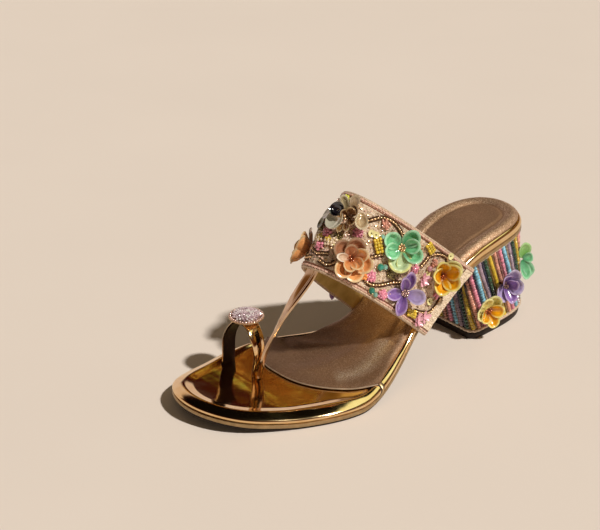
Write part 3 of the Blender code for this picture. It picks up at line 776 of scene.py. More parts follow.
def stone_look():
    look = Look("crystal", rgb(232, 212, 214), 0.06, 0.35, coat_weight=1.0, coat_roughness=0.02)
    look.paint(look.value("shade"), (0.0, rgb(160, 128, 138)), (0.35, rgb(222, 196, 204)),
               (0.75, rgb(240, 226, 230)), (1.0, rgb(255, 250, 246)))
    look.spread(look.noise(0.5), 0.03, 0.14)
    return look.material


# ---------------------------------------------------------------- sole
RIM_SECTION = (
    # place          round the heel seat     beside the waist       round the toe: inset, height
    ("under",           1.5, -5.0,             1.5, -5.0,             1.5, -5.0),
    ("lower edge",      0.7, -4.6,             0.7, -4.6,             0.7, -4.65),
    ("low side",        0.15, -4.0,            0.15, -4.0,            0.22, -4.0),
    ("widest",          0.0, -3.2,             0.0, -3.2,             0.0, -3.3),
    ("high side",       0.18, -1.9,            0.35, -2.2,            0.50, -2.3),
    ("shoulder",        0.62, -0.95,           1.1, -1.35,            1.8, -1.3),
    ("top, outer",      1.20, -0.32,           2.4, -0.42,            3.9, -0.32),
    ("crest",           1.85, 0.02,            3.8, 0.08,             6.5, 0.46),
    ("top, inner",      2.5, -0.10,            4.4, -0.08,            9.2, 0.06),
    ("bed side",        3.3, -0.45,            5.0, -0.45,           12.0, -0.42),
)
RIM_LEAVES_SEAT = (88.0, 142.0)
RIM_WIDENS = {"lateral": (150.0, 184.0), "medial": (160.0, 194.0)}
BED_LEVEL = {"sides": -0.45, "toe": -0.42}
BED_WAVES = ((10.0, 0.07), (4.5, 0.02))   # length and height of the soft waves in the foil
WELT_EDGE = ((0.9, -0.2), (0.35, -0.08), (0.10, 0.3), (0.05, 0.95), (0.10, WELT_THICK - 0.15),
             (0.35, WELT_THICK + 0.12), (0.9, WELT_THICK + 0.2))
OUTSOLE_EDGE = ((1.3, 0.0), (0.95, 0.12), (0.88, 0.4), (0.9, OUTSOLE_THICK - 0.4),
                (1.05, OUTSOLE_THICK - 0.12), (1.4, OUTSOLE_THICK))


def widening_at(t, side):
    """How far the rim is on its way to its broad toe form."""
    return smoothstep(*RIM_WIDENS[side], t)


def rim_row(row, t, side):
    """Inset and height over the board of one line of the rim's section at stations t."""
    leaving, widening = smoothstep(*RIM_LEAVES_SEAT, t), widening_at(t, side)
    return [lerp(lerp(row[k], row[k + 2], leaving), row[k + 4], widening) for k in (0, 1)]


def rim_curve(row):
    """One line of the rim's section as inset curves round the whole outline."""
    t = OUTLINE_CURVE[:, 1]
    toe = int(t.argmax())
    return side_curves(np.concatenate([rim_row(row, t[:toe], "lateral")[0],
                                       rim_row(row, t[toe:], "medial")[0]]))


def rolled_midsole(gold):
    """The foil-covered board: a rolled rim, broad round the toe, and the gold toe bed inside."""
    ribs, columns = 190, 40
    rows = smooth_path([row[1:] for row in RIM_SECTION], 27)
    shares = shares_with_round_ends(ribs)
    vertices, ring_size = [], 2 * ribs
    for row in rows:
        curves = rim_curve(row)
        t = lerp(curves[0], curves[1], shares)
        medial_x, lateral_x = across_at(curves, t)
        lateral = shoe(lateral_x, t, board_z(t) + rim_row(row, t, "lateral")[1])
        medial = shoe(medial_x, t, board_z(t) + rim_row(row, t, "medial")[1])
        vertices.append(np.concatenate([lateral, medial[-2:0:-1]]))
    faces = ring_faces(len(rows), ring_size)

    def cap(ring, inner):
        """Faces over a ring, in ribs; inner[i] are the new vertices between its two sides."""
        ribbed = [[ring + i, *inner[i], ring + (ring_size - i)] if 0 < i < ribs else [ring + i]
                  for i in range(ribs + 1)]
        made = []
        for low, high in zip(ribbed, ribbed[1:]):
            for j in range(max(len(low), len(high)) - 1):
                # the first and the last rib are one point each
                corners = [rib[min(k, len(rib) - 1)] for rib, k in
                           ((low, j), (high, j), (high, j + 1), (low, j + 1))]
                made.append(tuple(dict.fromkeys(corners)))
        return made

    # the bed, a little below the rim's inner edge and softly waved in front of the sock; the last
    # row's stations and sides are its border
    inner, extra = {}, []
    first = len(rows) * ring_size
    for i in range(1, ribs):
        rim_share = float(widening_at(t[i], "lateral"))
        level = float(board_z(t[i])) + lerp(BED_LEVEL["sides"], BED_LEVEL["toe"], rim_share)
        inner[i] = range(first + len(extra), first + len(extra) + columns - 1)
        for share in np.arange(1, columns) / columns:
            point = lerp(lateral[i], medial[i], share)
            edge = min(min(share, 1 - share) * abs(lateral[i][0] - medial[i][0]), t[-1] - t[i])
            wave = sum(height * soft_noise(point / length) for length, height in BED_WAVES)
            wave *= float(smoothstep(0.5, 5.0, edge)) * rim_share
            extra.append((point[0], point[1], level + wave))
    faces += cap(first - ring_size, inner)
    # the underside, flat ribs only
    faces += [face[::-1] for face in cap(0, {i: () for i in range(1, ribs)})]
    return new_piece("rolled_midsole", np.concatenate(vertices + [np.array(extra)]), faces, gold,
                     "mirror_gold", ("midsole",), sharp=50.0)


SEAM_STRIPS = {
    # places along the rim and over its surface, from one edge of the strip to the other
    "fold": ((-0.95, -0.10), (-0.80, 0.34), (-0.40, 0.50), (0.40, 0.50), (0.80, 0.34), (0.95, -0.10)),
    "gap": ((-1.75, -0.10), (-1.60, 0.10), (-0.80, 0.14), (0.80, 0.14), (1.60, 0.10), (1.75, -0.10)),
}


SEAMS = (
    # place in across_at, side   station  how far its middle bows back
    (1, "lateral",               150.0,    2.4),
    (0, "medial",                158.5,   -1.5),
)


def rim_seam(name, strip, made_of, slot):
    """Part of the joint of the foil covering on each side: a narrow strip over the rim."""
    rows = smooth_path([row[1:] for row in RIM_SECTION], 54)[6:52]
    curves = [rim_curve(row) for row in rows]
    along, lifts = np.array(SEAM_STRIPS[strip]).T
    bodies = []
    for which, side, station, bow in SEAMS:
        surface = []
        for number, row in enumerate(rows):
            t = station - bow * math.sin(math.pi * number / (len(rows) - 1)) + along
            x = across_at(curves[number], t)[which]
            surface.append(shoe(x, t, board_z(t) + rim_row(row, t, side)[1]))
        surface = np.array(surface)
        out = unit(np.cross(np.gradient(surface, axis=0), np.gradient(surface, axis=1)))
        middle = surface.mean(axis=(0, 1)) - np.array((0.0, 0.0, 8.0))
        if ((surface - middle) * out).sum() < 0:
            out = -out
        bodies.append(slab(surface + out * lifts[None, :, None], surface - out * 0.3))
    return new_piece(name, *join_bodies(bodies), made_of, slot, sharp=30.0)


def plate(name, profile, top_below_board, made_of, slot, replaced, start=None, ribs=150):
    """A plate that follows the outline and the board's line, its edge shaped by the profile."""
    shares = shares_with_round_ends(ribs, start is None)
    vertices = []
    for inset, down in profile:
        curves = side_curves(inset)
        t = lerp(curves[0] if start is None else start, curves[1], shares)
        medial_x, lateral_x = across_at(curves, t)
        z = board_z(t) - top_below_board - down
        medial = shoe(medial_x, t, z)
        back = medial[-2:0:-1] if start is None else medial[-2::-1]
        vertices.append(np.concatenate([shoe(lateral_x, t, z), back]))
    size = len(vertices[0])
    faces = ring_faces(len(profile), size)
    last = (len(profile) - 1) * size
    for k in range(size // 2):
        # a rib across from one side to the other
        corners = dict.fromkeys((k, k + 1, (-k - 1 - size % 2) % size, (-k - size % 2) % size))
        faces += [tuple(corners), tuple(last + c for c in corners)]
    return new_piece(name, np.concatenate(vertices), faces, made_of, slot, (replaced,))


TREAD_STATIONS = np.arange(140.0, 222.0, 4.0)
TREAD_INSET, TREAD_BOW = 6.0, 3.0
TREAD_BAR = (1.5, 0.22)     # width and height


def tread_bars(rubber):
    """Low cross bars moulded in the wearing face of the forefoot."""
    bodies = []
    curves = side_curves(TREAD_INSET)
    for t in TREAD_STATIONS:
        medial_x, lateral_x = across_at(curves, t)
        xs = np.linspace(medial_x + 2.0, lateral_x - 2.0, 24)
        ts = t + TREAD_BOW * np.sin(math.pi * (xs - medial_x) / (lateral_x - medial_x))
        centres = shoe(xs, ts, np.maximum(board_z(ts) - STACK + 0.05, 0.12))
        bodies.append(sweep(centres, (0.0, 1.0, 0.0), round_profile(8), *TREAD_BAR))
    return new_piece("tread_bars", *join_bodies(bodies), rubber, "sole_rubber")


# ---------------------------------------------------------------- insole
@lru_cache(maxsize=None)
def sock_reach(side):
    medial_x, lateral_x = across_at(SOCK_CURVES, SOCK_SIDE_T[side])
    return float(abs((lateral_x if side == "lateral" else medial_x) - SOCK_FRONT_X))


def sock_front(x):
    """Station of the sock's front edge at x: an arc that drops faster on the medial side."""
    side = "lateral" if x > SOCK_FRONT_X else "medial"
    share = min(abs(x - SOCK_FRONT_X) / sock_reach(side), 1.0)
    return SOCK_FRONT_T - (SOCK_FRONT_T - SOCK_SIDE_T[side]) * share ** SOCK_FRONT_POWER


def sock_point(share, across):
    """A point (x, t) of the sock: share from the heel to the front edge, across medial to lateral."""
    if share <= SOCK_STRAIGHT_SHARE:
        eased = 1 - math.cos(share / SOCK_STRAIGHT_SHARE * math.pi / 2)
        t = lerp(SOCK_CURVES[0], SOCK_WARP_T, eased)
        return lerp(*across_at(SOCK_CURVES, t), across), t
    bend = (share - SOCK_STRAIGHT_SHARE) / (1 - SOCK_STRAIGHT_SHARE)
    medial_t, lateral_t = (lerp(SOCK_WARP_T, SOCK_SIDE_T[side], bend) for side in ("medial", "lateral"))
    x = lerp(across_at(SOCK_CURVES, medial_t)[0], across_at(SOCK_CURVES, lateral_t)[1], across)
    return x, lerp(SOCK_WARP_T, sock_front(x), bend)


SOCK_PADDING = dict(border=7.2, border_rise=1.25, channel=9.4, channel_depth=0.95, channel_width=1.2)
SOCK_FOLDS = (
    # places (x, t) along the fold                                   height  width
    (((2.0, 176.0), (10.0, 163.0), (15.5, 148.0), (19.0, 130.0), (19.0, 112.0)),    1.9,   7.0),
    (((31.0, 158.0), (34.0, 142.0), (33.0, 124.0)),                                 0.9,   4.0),
    (((-30.0, 152.0), (-18.0, 153.0), (-4.0, 146.0), (8.0, 138.0)),                 1.0,   3.0),
    (((-29.0, 158.0), (-17.0, 159.0), (-6.0, 154.0), (4.0, 146.0)),                -0.9,   2.6),
    (((-24.0, 140.0), (-12.0, 134.0), (4.0, 128.0)),                                0.5,   4.0),
)
# line of a painted highlight streak on the sock, where the key light glances off it
PAINTED_HIGHLIGHT_LINE = ((24.0, 163.0), (28.5, 155.5), (31.0, 147.0), (30.0, 135.0), (25.5, 123.0))   # (x, t)


def nearest(points, line):
    """For each point in plan: the gap to the nearest vertex of a line, and that vertex's share."""
    gaps = np.linalg.norm(points[:, None] - line[None], axis=2)
    index = gaps.argmin(axis=1)
    return gaps[np.arange(len(points)), index], index / (len(line) - 1)


def distance_to(points, line):
    """Shortest distance in plan from each point to the vertices of a long line."""
    parts = (line[start:start + 200] for start in range(0, len(line), 200))
    return np.min([np.linalg.norm(points[:, None] - part[None], axis=2).min(axis=1) for part in parts],
                  axis=0)


def sock_height(plan):
    """Height of the padded sock over the board at points (x, t), and how far they are on its
    raised border."""
    pad = SOCK_PADDING
    sides = np.concatenate([SOCK_CURVES[2], SOCK_CURVES[3]])
    front_x = np.linspace(across_at(SOCK_CURVES, 160.0)[0], across_at(SOCK_CURVES, 149.0)[1], 160)
    side_gap = distance_to(plan, sides[sides[:, 1] < SOCK_FRONT_T])
    front_gap = distance_to(plan, np.array([(x, sock_front(x)) for x in front_x]))
    t = plan[:, 1]
    height = lerp(0.9, SOCK_THICK - 0.3, 1 - np.exp(-(side_gap / 1.7) ** 1.3))
    heel_share = 1 - smoothstep(96.0, 140.0, t)
    rounded = np.exp(-((side_gap - pad["border"] * 0.55) / (pad["border"] * 0.45)) ** 2)
    channel = np.exp(-((side_gap - pad["channel"]) / pad["channel_width"]) ** 2)
    height += heel_share * (pad["border_rise"] * rounded - pad["channel_depth"] * channel)
    height += 0.35 * np.exp(-((side_gap - 4.0) / 3.0) ** 2) * (1 - heel_share)
    for places, rise, width in SOCK_FOLDS:
        gap, share = nearest(plan, smooth_path(places, 70))
        height += rise * np.sqrt(np.sin(math.pi * share)) * np.exp(-(gap / width) ** 2)
    front_round = 1 - np.exp(-(front_gap / 2.4) ** 1.2)
    border = heel_share * (1 - smoothstep(pad["channel"] - 1.6, pad["channel"] - 0.4, side_gap))
    return lerp(0.95, height, np.where(t > 100.0, front_round, 1.0)), border


def padded_insole(leather):
    """The sock: crowned border round the heel, sunk seam inside it, soft folds at the instep."""
    rows, columns = 170, 56
    shares = [1e-4] + [i / rows for i in range(1, rows + 1)]
    # closer together at the sides, where the edge turns down
    crosswise = [(1 - math.cos(math.pi * j / columns)) / 2 for j in range(columns + 1)]
    flat = np.array([sock_point(s, a) for s in shares for a in crosswise])
    x, t = flat.T
    height, border = sock_height(flat)
    height += 0.06 * np.array([soft_noise((*place, 0.0)) for place in flat / 7.0])
    top, under = (shoe(x, t, board_z(t) + over).reshape(len(shares), len(crosswise), 3)
                  for over in (height, 0.3))
    # painted highlight: how much of the pale streak each point gets, most in the middle of its line
    gap, share = nearest(flat, smooth_path(PAINTED_HIGHLIGHT_LINE, 60))
    rubbed = np.sqrt(np.sin(math.pi * (0.12 + 0.76 * share))) * np.exp(-(gap / 4.2) ** 2)
    rubbed = rubbed * smoothstep(0.0, 0.06, share) * (1 - smoothstep(0.94, 1.0, share))
    # front: share from the heel towards the front, which the leather uses for its painted shade
    values = {"border": border, "rubbed": rubbed, "front": smoothstep(86.0, 150.0, t)}
    piece = new_piece("padded_insole", *slab(top, under), leather, "pewter_leather", ("insole",),
                      {label: np.tile(value, 2) for label, value in values.items()}, sharp=60.0)
    return piece


def sock_edge_line(made_of):
    """The pale cut edge that shows along the front of the sock, coloured paler than its own tone as painted
    light, since it faces away from the key light.
    """
    low, high = across_at(SOCK_CURVES, 161.0)[0], across_at(SOCK_CURVES, 150.0)[1]
    xs = np.linspace(low + 0.6, high - 0.6, 120)
    ts = np.array([sock_front(x) for x in xs]) + 0.12
    body = sweep(shoe(xs, ts, board_z(ts) + 0.62), (0.0, 0.0, 1.0), round_profile(8), 0.85, 0.7)
    return new_piece("sock_front_edge", *body, made_of, "tan_gold")


# ---------------------------------------------------------------- heel
STRINGS = (
    # colour    bead diameter  length   in order towards the breast, along the lateral side
    ("pink",        2.9,        1.8),
    ("peach",       2.7,        1.6),
    ("yellow",      2.8,        1.15),
    ("green",       2.9,        2.1),
    ("lilac",       2.9,        1.5),
    ("sky",         3.2,        2.0),
)
FILLERS = ("rose_brown", "olive", "olive", "navy", "sand", "navy")   # between each and the next
FILLER_BEAD = (1.75, 1.3)
STRING_REPEATS = 7
STRING_SLANT = 0.093        # of the perimeter, over the block's height
STRING_PHASE = -1.1         # shifts all the strings round the block, in pitches
STRING_START = -0.025       # level of the highest bead, over the welt's lower part
STRING_END = 0.935          # level of the lowest bead


HEEL_RIBS = 90


def heel_outline(inset):
    """Points (x, t) round the heel: up the lateral side to the breast and back along the medial."""
    curves = side_curves(inset)
    t = lerp(curves[0], BREAST_T, shares_with_round_ends(HEEL_RIBS))
    medial_x, lateral_x = across_at(curves, t)
    short = np.maximum(t - (BREAST_T - BREAST_ROUND), 0.0)
    pulled = BREAST_ROUND - np.sqrt(np.maximum(BREAST_ROUND ** 2 - short ** 2, 0.0))
    lateral = np.stack([lateral_x - pulled, t], axis=1)
    medial = np.stack([medial_x + pulled, t], axis=1)
    return np.concatenate([lateral, medial[:0:-1]])


def foot_outline(grow):
    """The heel's outline carried down to the floor, let out by grow all round."""
    x, t = heel_outline(FOOT_INSET).T
    middle, half = (FOOT_BACK_T + FOOT_FRONT_T) / 2, (FOOT_FRONT_T - FOOT_BACK_T) / 2
    foot_t = lerp(FOOT_BACK_T, FOOT_FRONT_T, (t - t.min()) / (BREAST_T - t.min()))
    return np.stack([x * (1 + grow / np.abs(x).max()), middle + (foot_t - middle) * (1 + grow / half)],
                    axis=1)


class HeelWall:
    """The block's side: share round the heel from its back up the lateral side, level from the
    seat down to the foot."""

    def __init__(self, inset=0.0):
        loops = heel_outline(BLOCK_INSET + inset), foot_outline(BLOCK_OVERHANG - inset)
        self.seat, self.foot = (np.concatenate([loop, loop[:1]]) for loop in loops)
        travel = travelled(self.seat)
        self.shares = travel / travel[-1]

    def plan(self, loop, share):
        share = np.mod(share, 1.0)
        return [np.interp(share, self.shares, loop[:, k]) for k in (0, 1)]

    def points(self, share, level):
        (seat_x, seat_t), (foot_x, foot_t) = self.plan(self.seat, share), self.plan(self.foot, share)
        seat_z = board_z(np.maximum(seat_t, 0.0)) - BOARD_THICK - WELT_THICK - 2 * GAP
        return shoe(lerp(seat_x, foot_x, level), lerp(seat_t, foot_t, level),
                    lerp(seat_z, TOP_PIECE_THICK + GAP, level))

    def outward(self, share, level):
        around = self.points(share + 0.004, level) - self.points(share - 0.004, level)
        return unit(np.cross(around, self.points(share, 1.0) - self.points(share, 0.0)))


WALL = HeelWall()


def heel_core(cloth):
    """The covered block under the strings."""
    inner = HeelWall(inset=2.1)
    shares, levels = np.linspace(0, 1, 160, endpoint=False), np.linspace(0, 1, 14)
    vertices = np.concatenate([inner.points(shares, level) for level in levels])
    return new_piece("heel_core", vertices, capped_rings(len(levels), len(shares)), cloth,
                     "bead_covering", ("heel_block",), sharp=60.0)


def even_steps(points, step):
    """Places at equal steps along a polyline: (points, directions, indices of the polyline)."""
    travel = travelled(points)
    count = max(int(travel[-1] / step), 1)
    places = (np.arange(count) + 0.5) * travel[-1] / count

    def read(rows):
        return np.stack([np.interp(places, travel, row) for row in np.transpose(rows)], axis=1)

    index = np.interp(places, travel, np.arange(len(points)))
    return read(points), unit(read(unit(np.gradient(points, axis=0)))), index.astype(int)


def bead_axes(direction, normal):
    """Axes of a bead strung along direction and lying on a surface."""
    side = unit(np.cross(normal, direction))
    return np.stack([side, np.cross(direction, side), direction])


def spun(axes, angle):
    """Axes turned about their third one, in radians."""
    cos, sin = math.cos(angle), math.sin(angle)
    return np.stack([axes[0] * cos + axes[1] * sin, axes[1] * cos - axes[0] * sin, axes[2]])


def tipped(axes, angle):
    """Axes turned about their second one, which raises the first one, in radians."""
    cos, sin = math.cos(angle), math.sin(angle)
    return np.stack([axes[0] * cos + axes[2] * sin, axes[1], axes[2] * cos - axes[0] * sin])


def tilted(axes, turn, tilt):
    """Axes turned in the surface by turn degrees, then raised along that direction by tilt."""
    return tipped(spun(axes, math.radians(turn)), math.radians(tilt))


def facing(out, along):
    """Axes whose third one is out, and whose first one is square to along."""
    side = unit(np.cross(along, out))
    return np.stack([side, np.cross(out, side), out])


def thread_beads(pile, template, path, normals, step, sizes, lift=0.0):
    """Beads strung at even steps along a path on a surface."""
    for place, direction, i in zip(*even_steps(path, step)):
        pile.add(template, place + normals[i] * lift, bead_axes(direction, normals[i]),
                 size=RANDOM.uniform(*sizes))


def heel_string(pile, template, diameter, length, shares, levels, sunk=0.0):
    """One string of beads down the block, each bead a little out of line."""
    out = WALL.outward(shares, levels)
    path = WALL.points(shares, levels) - out * (diameter / 2 + sunk)
    for place, direction, i in zip(*even_steps(path, length * 0.97)):
        lean = unit(direction + 0.07 * RANDOM.normal(size=3))
        place = place + out[i] * RANDOM.uniform(-0.12, 0.12)
        pile.add(template, place, bead_axes(lean, out[i]), size=RANDOM.uniform(0.93, 1.05))


def heel_strings(looks):
    """Strings of beads that slant back as they run down the block, with thin ones between."""
    piles = Piles((colour, Pile()) for colour, *_ in STRINGS)
    templates = {colour: seed_bead(diameter, length) for colour, diameter, length in STRINGS}
    for colour in FILLERS:
        piles.setdefault(colour, Pile())
    thin = seed_bead(*FILLER_BEAD, sides=6)
    count = STRING_REPEATS * len(STRINGS)
    levels = np.linspace(STRING_START, STRING_END, 60)
    for k in range(count):
        colour, *bead = STRINGS[k % len(STRINGS)]
        sway = 0.0022 * np.sin(levels * 6.0 + 2.4 * k) * RANDOM.uniform(0.3, 1.0)
        shares, between = ((k + shift + STRING_PHASE) / count - STRING_SLANT * levels + sway
                           for shift in (0.0, 0.5))
        heel_string(piles[colour], templates[colour], *bead, shares, levels)
        heel_string(piles[FILLERS[k % len(STRINGS)]], thin, *FILLER_BEAD, between, levels, 0.75)
    piles.pieces("heel_beads", looks, "bead_covering")


HEEL_BRAIDS = (
    # level  sunk   radius
    (0.956,  0.75,  1.05),
    (0.012,  1.0,   0.7),
)


def heel_braids(braid):
    """Cords that finish the covering along its bottom edge and under the seat."""
    bodies = []
    shares = np.linspace(0, 1, 420)
    for level, sunk, radius in HEEL_BRAIDS:
        out = WALL.outward(shares, level)
        path = WALL.points(shares, level) - out * sunk
        bodies.append(rope(path[:-1], out[:-1], radius, strands=2, lay=3.2))
    return new_piece("heel_braids", *join_bodies(bodies), braid, "bead_covering")


WEARING_TOP = TOP_PIECE_THICK + 1.7
WEARING_EDGE = (
    # how far out, height
    (-1.5, WEARING_TOP), (-0.1, WEARING_TOP), (0.25, WEARING_TOP - 0.25), (0.35, WEARING_TOP - 1.1),
    (0.15, WEARING_TOP - 1.35), (0.35, WEARING_TOP - 1.6), (0.25, 1.2), (0.05, 0.4), (-0.25, 0.08),
    (-0.6, 0.0), (-3.0, 0.0),
)


def top_piece(rubber):
    """Wearing piece under the heel, with a moulded edge line."""
    loops = [shoe(*foot_outline(grow).T, z) for grow, z in WEARING_EDGE]
    size = len(loops[0])
    last = (len(loops) - 1) * size
    faces = ring_faces(len(loops), size) + [tuple(range(size)), tuple(range(last, last + size))]
    return new_piece("heel_wearing_piece", np.concatenate(loops), faces, rubber, "sole_rubber",
                     ("heel_top_piece",))


# ---------------------------------------------------------------- band
@lru_cache(maxsize=None)
def band_sides(v):
    """The band's sizes at v, and for its medial and lateral end the end itself and the point
    where it comes clear of the rim, in (x, t, z)."""
    front, back = BAND_EDGES["front"], BAND_EDGES["back"]
    now = {key: lerp(front[key], back[key], v) for key in front}
    top = np.array((0.0, now["top_t"], now["top_z"]))
    made = {"now": now}
    for which, side in enumerate(("medial", "lateral")):
        t = now[side + "_t"]
        end = np.array((0.0, t, board_z(t) - now["drop"]))
        low, high = 0.0, 1.0
        for _ in range(24):
            share = (low + high) / 2
            point = lerp(end, top, share)
            if point[2] < board_z(point[1]) + BAND_FREE_HEIGHT:
                low = share
            else:
                high = share
        made[side] = (end, lerp(end, top, high))
        for point in made[side]:
            point[0] = across_at(BAND_OUTLINE, point[1])[which]
    return made


def band_point(u, v):
    """The band's inner face in (x, t, z)."""
    sides = band_sides(v)
    now, lateral, medial = sides["now"], sides["lateral"][1], sides["medial"][1]
    if u < BAND_TAB_SHARE:
        return lerp(*sides["lateral"], u / BAND_TAB_SHARE)
    if u > 1 - BAND_TAB_SHARE:
        return lerp(*sides["medial"], (1 - u) / BAND_TAB_SHARE)
    top = np.array((now["top_x"], now["top_t"], now["top_z"]))
    middle = (lateral + medial) / 2
    angle = math.pi * (u - BAND_TAB_SHARE) / (1 - 2 * BAND_TAB_SHARE)
    side = signed_power(math.cos(angle), 2 / ARCH_SQUARENESS)
    rise = abs(math.sin(angle)) ** (2 / ARCH_SQUARENESS)
    crown = BAND_CROWN * (4 * v * (1 - v) * abs(math.sin(angle)))
    return middle + (lateral - medial) / 2 * side + (top - middle) * rise + crown


class BandSurface:
    """The band's inner face sampled once, read between its samples."""
    ALONG, ACROSS = 260, 40
    UNDER_ARCH = np.array((0.0, HEEL_BACK_Y - 115.0, 40.0))

    def __init__(self):
        us, vs = np.linspace(0, 1, self.ALONG + 1), np.linspace(0, 1, self.ACROSS + 1)
        grid = np.array([[band_point(u, v) for v in vs] for u in us])
        self.grid = shoe(*np.moveaxis(grid, -1, 0))
        self.along = np.gradient(self.grid, 1 / self.ALONG, axis=0)
        self.across = np.gradient(self.grid, 1 / self.ACROSS, axis=1)
        normal = unit(np.cross(self.across, self.along))
        self.normal = -normal if ((self.grid - self.UNDER_ARCH) * normal).sum() < 0 else normal

    def read(self, field, u, v):
        a = np.clip(np.asarray(u, float), 0, 1) * self.ALONG
        b = np.clip(np.asarray(v, float), 0, 1) * self.ACROSS
        i = np.minimum(a.astype(int), self.ALONG - 1)
        j = np.minimum(b.astype(int), self.ACROSS - 1)
        p, q = (a - i)[..., None], (b - j)[..., None]
        return (field[i, j] * (1 - p) * (1 - q) + field[i + 1, j] * p * (1 - q)
                + field[i, j + 1] * (1 - p) * q + field[i + 1, j + 1] * p * q)

    def out(self, u, v):
        return unit(self.read(self.normal, u, v))

    def points(self, u, v, lift=0.0):
        return self.read(self.grid, u, v) + self.out(u, v) * np.asarray(lift)[..., None]

    def axes(self, u, v):
        """Rows: direction to the heel in the surface, direction up over the instep, outward."""
        out = self.out(u, v)
        back = self.read(self.across, u, v)
        back = unit(back - out * (back @ out))
        return np.stack([back, np.cross(out, back), out])

    def moved(self, u, v, back, over):
        """(u, v) moved by millimetres towards the heel and over the instep."""
        # the two parameter directions in the surface's own square axes
        directions = np.stack([self.read(self.across, u, v), self.read(self.along, u, v)], axis=1)
        dv, du = np.linalg.solve(self.axes(u, v)[:2] @ directions, np.array((back, over)))
        return u + du, v + dv


BAND = BandSurface()
FABRIC_LIFT = BAND_THICK + 0.05     # the face of the cloth


def fabric_lift(u, v):
    """Height of the cloth's face over the band's inner face: slightly padded, thin at its edges."""
    edge = np.minimum(v, 1 - v) * 45.0
    return FABRIC_LIFT - 0.55 * np.exp(-(edge / 1.2) ** 2) + 0.15 * np.exp(-((edge - 6.0) / 4.0) ** 2)


def on_cloth(u, v, lift=0.0):
    """A point over the cloth's face, and the surface's axes there."""
    return BAND.points(u, v, float(fabric_lift(u, v)) + lift), BAND.axes(u, v)


def band_body(name, low, high, made_of, slot, margin):
    """Part of the band's wall between two lifts, which may be functions of (u, v)."""
    along, across = 300, 56
    us, vs = np.linspace(0, 1, along + 1), np.linspace(margin, 1 - margin, across + 1)
    u, v = (grid.reshape(-1) for grid in np.meshgrid(us, vs, indexing="ij"))
    sides = (BAND.points(u, v, lift(u, v) if callable(lift) else lift) for lift in (high, low))
    body = slab(*(side.reshape(along + 1, across + 1, 3) for side in sides))
    return new_piece(name, *body, made_of, slot, ("upper",), sharp=60.0)


def edge_path(lift, u=None, v=None, count=420):
    """A path along an edge of the band, at one u or one v, and the surface's normals on it."""
    shares = np.linspace(0, 1, count)
    u, v = (shares if place is None else np.full(count, place) for place in (u, v))
    return BAND.points(u, v, lift), BAND.out(u, v)


LONG_EDGES, SHORT_EDGES = (0.004, 0.996), (0.002, 0.998)    # the piping's v, and its u at the ends
STITCHED_LINES, BEADED_LINES = (0.052, 0.948), (0.026, 0.974)   # v of the thread and of the beads


def band_edges(piping, thread, looks):
    """Rolled edges, a stitched line inside them, and a row of small tube beads between."""
    paths = [(edge_path(1.35, v=v), 2.0, 2.6) for v in LONG_EDGES]
    paths += [(edge_path(1.3, u=u, count=90), 1.8, 2.5) for u in SHORT_EDGES]
    bodies = [sweep(path, np.cross(np.gradient(path, axis=0), normals), round_profile(10), width, thick)
              for (path, normals), width, thick in paths]
    new_piece("band_piping", *join_bodies(bodies), piping, "band_fabric")
    threads = [rope(*edge_path(BAND_THICK + 0.12, v=v, count=900), 0.42, strands=2, lay=1.8, sides=8)
               for v in STITCHED_LINES]
    new_piece("band_edge_threads", *join_bodies(threads), thread, "band_fabric")
    beads = Pile()
    for v in BEADED_LINES:
        thread_beads(beads, bugle(1.15, 2.1, 7), *edge_path(BAND_THICK + 0.15, v=v), 2.3, (0.9, 1.03))
    beads.piece("band_edge_beads", looks["shell_pink"], "seed_beads")


END_ROWS = 6
END_ROW_START, END_ROW_PITCH = 0.010, 0.0108    # in shares of the band's length


def band_end_rows(pale, cord):
    """Thick stitched cords laid side by side along the two ends of the band, with thin dark threads in the
    gaps between them as painted shade.
    """
    cords, threads = [], []
    vs = np.linspace(0.05, 0.95, 150)
    for end in (0, 1):
        for row in range(END_ROWS):
            sway = 0.0011 * np.array([soft_noise((row * 5.0 + end, v * 9.0, 0.0)) for v in vs])
            u = END_ROW_START + END_ROW_PITCH * row + sway
            u = u if end == 0 else 1 - u
            between = u + END_ROW_PITCH * (0.5 - end)
            normals = BAND.out(u, vs)
            cords.append(rope(BAND.points(u, vs, BAND_THICK + 0.70), normals, 0.80, strands=3, lay=5.2,
                              depth=0.34))
            # painted shade: thin dark threads fill the gaps between the cords
            threads.append(rope(BAND.points(between, vs, BAND_THICK + 0.30), normals, 0.42, strands=2,
                                lay=1.8, sides=7))
    new_piece("band_end_cords", *join_bodies(cords), pale, "band_fabric")
    new_piece("band_end_threads", *join_bodies(threads), cord, "band_fabric")


